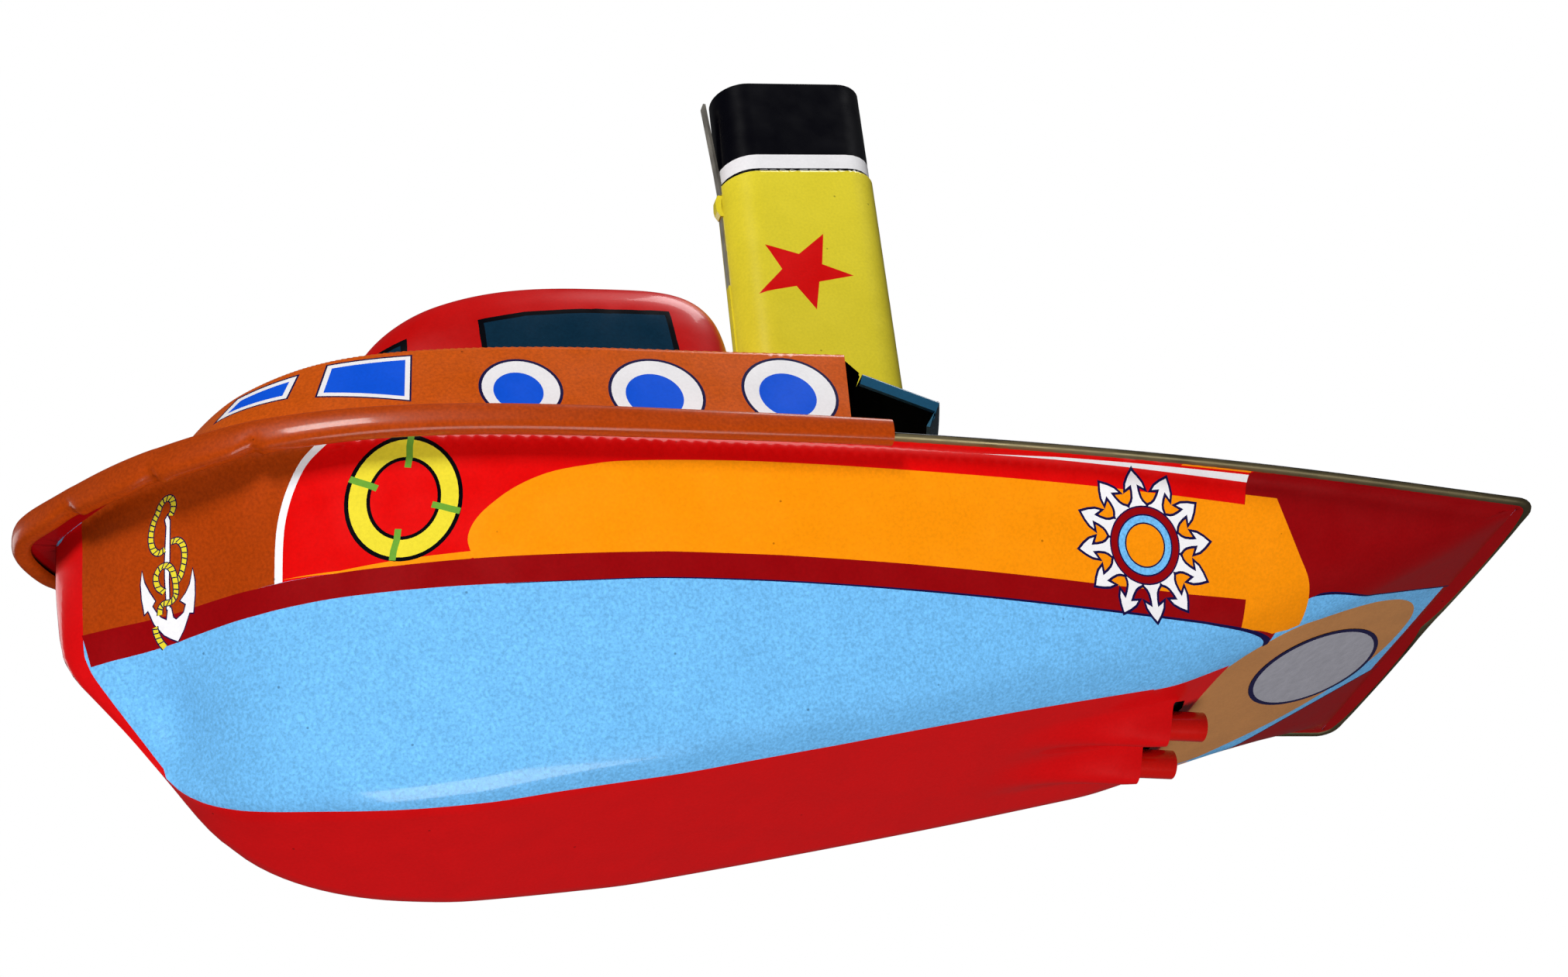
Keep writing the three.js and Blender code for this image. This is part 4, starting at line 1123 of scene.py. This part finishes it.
def house_piece():
    sheet = Mesh()
    regions = []
    for outline in ([(40.3, 16.3), (40.05, 20.1), (44.5, 21.3), (50, 22.2), (58.5, 22.9), (59.1, 17.6),
                     (59.3, 13.5), (40.4, 13.0)],
                    [(28.9, 14.4), (29.5, 16.0), (31.0, 17.6), (33.7, 18.5), (33.7, 15.5), (33.6, 13.0),
                     (29.2, 12.8)]):
        for slot, inset in ((1, 0.0), (2, -0.55)):
            regions.append((slot, [house_uv(x, z) for x, z in dense(grown(outline, inset), 1.0)]))
    us = np.linspace(0, math.pi, 110)
    vs = steps((0.2, 3, 7), (22, 26))
    sheet.printed(house_lift, us, vs, 1, regions, reach=0.05)
    sheet.mirrored()
    sheet.piece("wheelhouse_dome", [HOUSE_RED, BLACK, GLASS_PRINT], BOAT, ["wheelhouse"])


house_piece()

# ---- hood -------------------------------------------------------------------------------------

HOOD_START, HOOD_SIDE, HOOD_END, HOOD_HALF, HOOD_Z = 71.0, 82.0, 85.2, 18.7, 12.9
HOOD_FRONT, HOOD_BAND, HOOD_LEG = 74.4, 1.35, 3.1
HOOD_FLAT, HOOD_BEND = 0.7, 0.82
HOOD_ANGLE = math.atan(0.352)


def hood_edge(u):
    """Plan outline: u runs out along the stern edge to 1 and forward along the side to 2."""
    t = np.clip(u, 0, 1)
    back = np.clip(u - 1, 0, 1)
    return HOOD_SIDE + (HOOD_END - HOOD_SIDE) * (1 - t * t) - (HOOD_SIDE - HOOD_FRONT) * back, HOOD_HALF * t


def hood_lift(u, v):
    """v runs from the centre of the top over a rounded edge to the foot of the lip."""
    x, y = hood_edge(u)
    x1, y1 = hood_edge(u + 1e-3)
    x0, y0 = hood_edge(np.maximum(u - 1e-3, 0))
    length = np.hypot(x1 - x0, y1 - y0)
    nx, ny = -(y0 - y1) / length, (x0 - x1) / length
    cx = np.minimum(x, HOOD_SIDE - 2)
    radius = GAUGE
    flat = ramp(v, 0, HOOD_FLAT)
    bend = ramp(v, HOOD_FLAT, HOOD_BEND) * np.pi / 2
    lip = ramp(v, HOOD_BEND, 1)
    edge_x, edge_y = x - nx * radius, y - ny * radius
    px = cx + (edge_x - cx) * flat + nx * radius * np.sin(bend)
    py = edge_y * flat + ny * radius * np.sin(bend)
    leg = HOOD_LEG + (HOOD_BAND - HOOD_LEG) * ramp(u, 1, 1.02)
    pz = -radius * (1 - np.cos(bend)) - (leg - radius) * lip
    dx = px - nx * 0.12 * leg * lip - HOOD_START
    points = pitched(np.stack([dx, py, pz], -1), HOOD_ANGLE)
    return points + (HOOD_START, 0, HOOD_Z)


def hood_piece():
    sheet = Mesh()
    us = np.concatenate([np.linspace(0, 0.985, 30), [1.0, 1.012, 1.03], np.linspace(1.1, 2, 10)])
    vs = steps((0, HOOD_FLAT, HOOD_BEND, 1), (8, 6, 4))
    sheet.grid(hood_lift, us, vs, -1, 0)
    # the inner skin and the cut edge pass the corner without its tight stations
    smooth_us = us[(us < 0.99) | (us > 1.025)]
    sheet.grid(hood_lift, smooth_us, vs, -1, 1, -GAUGE)
    # the cut edge of the lip is the lighter blue, a painted highlight
    sheet.edge(hood_lift, smooth_us, 1.0, -1, 2, GAUGE, (0.3, 0, -1))
    # the neck that climbs to the roof of the cabin
    count = 24
    roof = cabin_lift(np.full(count, 99.9), np.linspace(WALL + 0.2, ROOF, count))
    drop = (HOOD_FRONT - HOOD_START) * math.sin(HOOD_ANGLE)
    front_x = hood_lift(np.full(count, 2.0), np.linspace(1, 0, count))[:, 0]
    front = np.stack([front_x, np.linspace(HOOD_HALF - 0.1, 0, count), np.full(count, HOOD_Z - drop)], -1)
    facing = np.tile(unit(np.array([0.7, 0, 0.7])), (2 * count, 1))
    for height, slot in ((0.0, 3), (-GAUGE, 1)):
        top = roof + (-0.3, 0, height - 0.1)
        sheet.add(np.concatenate([top, front + (0.1, 0, height)]), band(count), facing, slot)
    sheet.mirrored()
    sheet.piece("hood_cover", [HOOD_BLUE, BLACK, HOOD_HIGHLIGHT_BLUE, BLACK], BOAT, ["boiler_hood"])


hood_piece()

# ---- funnel -----------------------------------------------------------------------------------

FUNNEL_X, FUNNEL_LONG, FUNNEL_HALF, FUNNEL_TOP = 76.75, 8.3, 3.4, 60.9
ARC = FUNNEL_HALF * math.pi / 2
STRAIGHT = 2 * (FUNNEL_LONG - FUNNEL_HALF)
AROUND = 2 * ARC + STRAIGHT
BAND_LOW, BAND_TOP = 48.75, 51.1


def funnel_lift(u, v):
    """u runs from the bow edge round the side to the stern edge, v is the height."""
    angle = (np.clip(u, 0, ARC) + np.clip(u - ARC - STRAIGHT, 0, ARC)) / FUNNEL_HALF
    run = np.clip(u - ARC, 0, STRAIGHT)
    nx, ny = -np.cos(angle), np.sin(angle)
    # the yellow sheet is lapped over the banded one
    r = FUNNEL_HALF + 0.22 * np.clip((48.82 - v) / 0.08, 0, 1)
    x = FUNNEL_X - STRAIGHT / 2 + run + nx * r
    return np.stack([x, ny * r, v + RAKE * (x - FUNNEL_X) * ramp(v, 20, 35)], -1)


RAKE = 0.125  # the print and the top edge climb towards the stern


def funnel_piece():
    sheet = Mesh()
    low, top = 9.0, FUNNEL_TOP
    bands = ((1, low, BAND_LOW), (2, BAND_LOW, BAND_TOP), (3, BAND_TOP, top),
             (3, BAND_LOW - 0.01, BAND_LOW + 0.5))
    regions = [(slot, [(0, a), (AROUND, a), (AROUND, b), (0, b)]) for slot, a, b in bands]
    star = [(77.9, 40.5), (77.35, 36.5), (80.6, 35.4), (76.8, 34.2), (76.15, 30.6), (74.3, 33.35),
            (70.4, 32.1), (73.0, 35.4), (71.5, 38.4), (75.0, 37.55)]
    side = ARC - (FUNNEL_X - STRAIGHT / 2)
    regions.append((4, [(side + x, z - RAKE * (x - FUNNEL_X)) for x, z in star]))
    us = steps((0, ARC, ARC + STRAIGHT, AROUND), (11, 10, 11))
    vs = np.concatenate([np.linspace(low, 48.5, 26), [48.7, 48.74, 48.78, 48.82, 48.9],
                         np.linspace(49.2, top, 9)])
    sheet.printed(funnel_lift, us, vs, -1, regions, base=1)
    sheet.grid(funnel_lift, us, np.linspace(14, top, 12), -1, 3, -0.4, ((0, AROUND), (low, top)))
    sheet.edge(funnel_lift, us, top, -1, 5, 0.4, (0, 0, 1))
    sheet.mirrored()
    sheet.piece("funnel_stack", [YELLOW, YELLOW, WHITE, BLACK, RED, EDGE_TIN], BOAT, ["funnel"])


funnel_piece()


def strip(sheet, centres, half_x, half_y, slots):
    """A flat bar through the centres, with its own slot for each stretch."""
    corners = np.array([(-half_x, -half_y, 0), (half_x, -half_y, 0), (half_x, half_y, 0),
                        (-half_x, half_y, 0)])
    points = (np.array(centres, float)[:, None, :] + corners).reshape(-1, 3)
    last = 4 * len(centres) - 4
    for k in range(4):
        n = (k + 1) % 4
        sheet.add(points, [(i + k, i + n, i + 4 + n, i + 4 + k) for i in range(0, last, 4)], None, slots)
    sheet.add(points, [(3, 2, 1, 0), (last, last + 1, last + 2, last + 3)], None, slots[0])


def seam_piece():
    """The free edge of the lapped seam, which stands off the bow edge of the funnel."""
    sheet = Mesh()
    edge = FUNNEL_X - FUNNEL_LONG
    heights = np.linspace(46.6, 58.9, 16)
    gap = np.interp(heights, [46.6, 50, 58.9], [0.12, 0.3, 0.95])
    strip(sheet, [(edge - g, -0.45, z) for g, z in zip(gap, heights)], 0.14, 0.55, [0] * 15)
    heights = np.linspace(43.9, 46.6, 6)
    gap = np.interp(heights, [43.9, 44.6, 46, 46.6], [0.15, 0.55, 0.5, 0.2])
    strip(sheet, [(edge - g, -0.35, z) for g, z in zip(gap, heights)], 0.3, 0.5, [1] * 5)
    heights = np.linspace(15, 43.9, 14)
    strip(sheet, [(edge - 0.2, -0.3, z) for z in heights], 0.12, 0.4,
          [0 if z > 33 else 1 for z in heights[:-1]])
    sheet.piece("funnel_seam", [PLAIN_TIN, YELLOW], BOAT, ())


seam_piece()

# ---- label on the transom ---------------------------------------------------------------------


def label_piece():
    sheet = Mesh()
    centre, long, wide, skew = 124.7, 11.2, 6.15, math.radians(42)
    angles = np.linspace(0, 2 * math.pi, 65)
    slope = (float(keel(np.array(126.0))) - float(keel(np.array(122.0)))) / 4
    normal = unit(np.array([slope, 0, -1.0]))
    rows = []
    for scale, up in ((1.0, -0.05), (1.0, 0.07), (0.985, 0.09), (0.93, 0.09), (0.0, 0.09)):
        a, b = long * scale * np.cos(angles), wide * scale * np.sin(angles)
        x = centre + a * math.cos(skew) - b * math.sin(skew)
        y = a * math.sin(skew) + b * math.cos(skew)
        rows.append(np.stack([x, y, keel(x)], -1) + normal * up)
    n = len(angles)
    for outer, inner, slot in zip(rows, rows[1:], (1, 1, 1, 0)):
        sheet.add(np.concatenate([outer, inner]), band(n), np.tile(normal, (2 * n, 1)), slot)
    sheet.piece("transom_oval_label", [SHADED_PAPER, NAVY], BOAT, ["transom_label"])


def paper_material():
    material, tree, bsdf = shader("paper_label_painted_shade")
    fibres = noise_of(tree, 900, 4, 0.7)
    # painted shade: the paper is greyed down to the shade it sits in
    color = mixed(tree, 1.0, srgb(164, 164, 174), ranged(tree, fibres, 0.9, 1.04), "MULTIPLY")
    wire(tree, bsdf, Base_Color=color, Roughness=ranged(tree, fibres, 0.42, 0.58))
    bumped(tree, bsdf, [(fibres, 0.00001)])
    return material


SHADED_PAPER = paper_material()
label_piece()

# ---- candle, cup, wick and tray ---------------------------------------------------------------


def wax_material():
    material, tree, bsdf = shader("candle_wax")
    cloud = noise_of(tree, 300, 4, 0.6)
    color = mixed(tree, ranged(tree, cloud, 0, 1), srgb(244, 238, 218), srgb(232, 222, 192))
    wire(tree, bsdf, Base_Color=color, Roughness=ranged(tree, cloud, 0.3, 0.5),
         Subsurface_Weight=0.35, Subsurface_Scale=0.002)
    bumped(tree, bsdf, [(cloud, 0.00008)])
    return material


def wick_material():
    material, tree, bsdf = shader("candle_wick_cotton")
    twist = made(tree, "TexWave", Vector=made(tree, "TexCoord").outputs["Object"], Scale=900, Distortion=3)
    threads = twist.outputs["Fac"]
    wire(tree, bsdf, Base_Color=mixed(tree, threads, srgb(60, 52, 44), srgb(120, 108, 92)), Roughness=0.9)
    bumped(tree, bsdf, [(threads, 0.00005)])
    return material


FLOOR_ANGLE = math.atan(BOTTOM_SLOPE)


def from_floor(points):
    """Floor frame (x aft from the knee along the bottom, z up from its underside) to the deck frame."""
    return pitched(points, -FLOOR_ANGLE) + (KNEE_X, 0, KNEE_Z)


TRAY_Z, TRAY_GAUGE, GAP, CANDLE_X = 4.7, 0.6, 0.3, 6.8


def lathe(sheet, profile, sides, slot, ripple):
    """Turned shape in the floor frame, round the candle's axis.

    profile is (radius, height) and ripple(angle, k) scales the radius of its point k.
    """
    angles = np.linspace(0, 2 * math.pi, sides + 1)
    profile = np.array(profile, float)
    scale = np.array([[ripple(a, k) for a in angles] for k in range(len(profile))])
    radius = profile[:, 0][:, None] * scale
    height = np.repeat(profile[:, 1][:, None], sides + 1, 1)
    points = np.stack([CANDLE_X + radius * np.cos(angles), radius * np.sin(angles), height], -1)
    round_axis = np.stack([-np.sin(angles), np.cos(angles), 0 * angles], -1)[None]
    normals = unit(np.cross(np.broadcast_to(round_axis, points.shape), np.gradient(points, axis=0)))
    faces = quads(len(profile), sides + 1)
    sheet.add(from_floor(points.reshape(-1, 3)), faces, pitched(normals.reshape(-1, 3), -FLOOR_ANGLE), slot)


def fluted(angle, k):
    return 1 + (0.022 * math.cos(16 * angle) if 2 <= k <= 6 else 0)


def dripped(angle, k):
    return 1 + 0.012 * math.sin(3 * angle + 1) + (0.02 * math.sin(5 * angle) if 3 <= k <= 5 else 0)


def candle_pieces():
    low = TRAY_Z + TRAY_GAUGE + GAP
    cup = Mesh()
    profile = [(0, 0), (3.9, 0), (4.75, 0.15), (4.95, 1.5), (5.15, 2.75), (5.2, 2.85), (5.0, 2.8), (4.4, 1.4),
               (4.3, 0.5), (0, 0.45)]
    lathe(cup, [(r, low + z) for r, z in profile], 96, 0, fluted)
    cup.piece("candle_tin_cup", [BRASS], SLIDE, ["candle_cup"])
    base = low + 0.8
    high = base + 7.2
    wax = Mesh()
    side = [(0, 0), (3.9, 0), (4.0, 0.3), (3.97, 3)]
    top = [(3.94, 1.2), (3.8, 0.45), (3.5, 0.12), (3.0, 0.2), (2.0, 0.55), (1.0, 0.85), (0.4, 0.7), (0, 0.6)]
    lathe(wax, [(r, base + z) for r, z in side] + [(r, high - z) for r, z in top], 64, 0, dripped)
    wax.piece("candle_wax_body", [wax_material()], SLIDE, ["candle"])
    wick = Mesh()
    t = np.linspace(0, 1, 16)
    path = from_floor(np.stack([CANDLE_X + 0.5 * t**2.5, 0.25 * t**3, high - 1.6 + 3.4 * t], -1))
    _, last = sweep(wick, path, 0.38 - 0.1 * t, 0, 12)
    ring_cap(wick, last, np.repeat(path[-1:], 13, 0), path[-1] - path[-2], 0)
    wick.piece("candle_cotton_wick", [wick_material()], SLIDE, ["candle_wick"])


candle_pieces()

# ---- CAD nodes that stay ----------------------------------------------------------------------


SHARP = math.radians(35)


def dress(node, material, bevel=0.00012):
    """Gives a CAD solid its material and soft edges."""
    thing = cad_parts[node]
    thing.data.materials.clear()
    thing.data.materials.append(material)
    modifier = thing.modifiers.new("soft_edges", "BEVEL")
    modifier.width = bevel
    modifier.segments = 2
    modifier.limit_method = "ANGLE"
    modifier.angle_limit = SHARP
    modifier.harden_normals = True
    for polygon in thing.data.polygons:
        polygon.use_smooth = True
    thing.data.set_sharp_from_angle(angle=SHARP)


dress("boiler_diaphragm", BRASS)
for end in ("forward", "aft"):
    dress(f"boiler_hanger_{end}", INSIDE_TIN, 0.00008)
    dress(f"tube_strap_{end}", PLAIN_TIN)
for side in ("port", "starboard"):
    dress(f"tube_collar_{side}", SOLDER)
    dress(f"tray_guide_{side}", PLAIN_TIN)
for node in ("boiler_pan", "candle_tray"):
    dress(node, PLAIN_TIN)

# ---- floor, light and camera ------------------------------------------------------------------


def choose(tree, factor, first, second, output):
    """Shows the first shader where the factor is 0 and the second where it is 1."""
    mix = tree.nodes.new("ShaderNodeMixShader")
    for socket, source in zip(mix.inputs, (factor, first, second)):
        tree.links.new(source, socket)
    tree.links.new(mix.outputs[0], tree.nodes[output].inputs["Surface"])


def floor_piece():
    """A pale floor, seen only from above, that sheds no light on the boat's underside."""
    material, tree, bsdf = shader("floor_pale")
    grain = noise_of(tree, 40, 3)
    color = mixed(tree, 1.0, srgb(236, 236, 238), ranged(tree, grain, 0.985, 1.01), "MULTIPLY")
    wire(tree, bsdf, Base_Color=color, Roughness=ranged(tree, grain, 0.6, 0.75),
         Emission_Color=(0.95, 0.96, 0.98, 1.0), Emission_Strength=0.3)
    behind = made(tree, "NewGeometry").outputs["Backfacing"]
    choose(tree, behind, bsdf.outputs[0], made(tree, "BsdfTransparent").outputs[0], "Material Output")
    mesh = bpy.data.meshes.new("floor")
    count, radius, level = 96, 1.6, -0.00002
    angles = [2 * math.pi * i / count for i in range(count)]
    ring = [(radius * math.cos(a), radius * math.sin(a), level) for a in angles]
    mesh.from_pydata(ring, [], [tuple(range(count))])
    mesh.materials.append(material)
    floor = bpy.data.objects.new("floor", mesh)
    bpy.context.scene.collection.objects.link(floor)
    floor.visible_shadow = False
    floor.visible_glossy = False
    floor.visible_diffuse = False


floor_piece()


def area_light(name, place, target, size, power, color):
    light = bpy.data.lights.new(name, "AREA")
    light.shape = "RECTANGLE"
    light.size = light.size_y = size
    light.energy = power
    light.color = color
    lamp = bpy.data.objects.new(name, light)
    bpy.context.scene.collection.objects.link(lamp)
    lamp.location = place
    lamp.rotation_mode = "QUATERNION"
    lamp.rotation_quaternion = (target - Vector(place)).to_track_quat("-Z", "Y")


scene = bpy.context.scene
world = bpy.data.worlds.new("studio")
scene.world = world
world.use_nodes = True
tree = world.node_tree
dim = wire(tree, tree.nodes["Background"], Color=(0.95, 0.97, 1.0, 1), Strength=0.05)
white = made(tree, "Background", Color=(1, 1, 1, 1), Strength=1.0)
seen = made(tree, "LightPath").outputs["Is Camera Ray"]
choose(tree, seen, dim.outputs[0], white.outputs[0], "World Output")

middle = (cad_low + cad_high) / 2
for name, place, size, power, color in (
    ("key", (-0.24, -0.50, 0.30), 0.16, 3.2, (1.0, 0.99, 0.97)),
    ("low_bounce", (-0.10, -0.22, -0.50), 0.34, 3.0, (1.0, 0.98, 0.97)),
    ("top_soft", (0.34, -0.06, 0.55), 0.25, 1.8, (1, 1, 1)),
    ("far_side", (-0.45, 0.42, 0.25), 0.35, 1.3, (1, 1, 1)),
):
    area_light(name, place, middle, size, power, color)

# the photograph's point of view, in the deck frame
EYE = (-1.409, -211.199, -133.505)
RIGHT = (0.95918, -0.26554, -0.09730)
DOWN = (0.06703, 0.54773, -0.83396)
LENS, SENSOR = 62.98, 36.0
camera_data = bpy.data.cameras.new("camera")
camera_data.sensor_width = SENSOR
camera_data.lens = LENS
camera_data.clip_start, camera_data.clip_end = 0.01, 20
camera = bpy.data.objects.new("camera", camera_data)
scene.collection.objects.link(camera)
right, down = Vector(turn_row(RIGHT)), Vector(turn_row(DOWN))
forward = right.cross(down)
axes = Matrix((right, -down, -forward)).transposed().to_4x4()
camera.matrix_world = Matrix.Translation(Vector(to_row(EYE))) @ axes
scene.camera = camera
scene.view_settings.view_transform = "Standard"
scene.view_settings.look = "None"
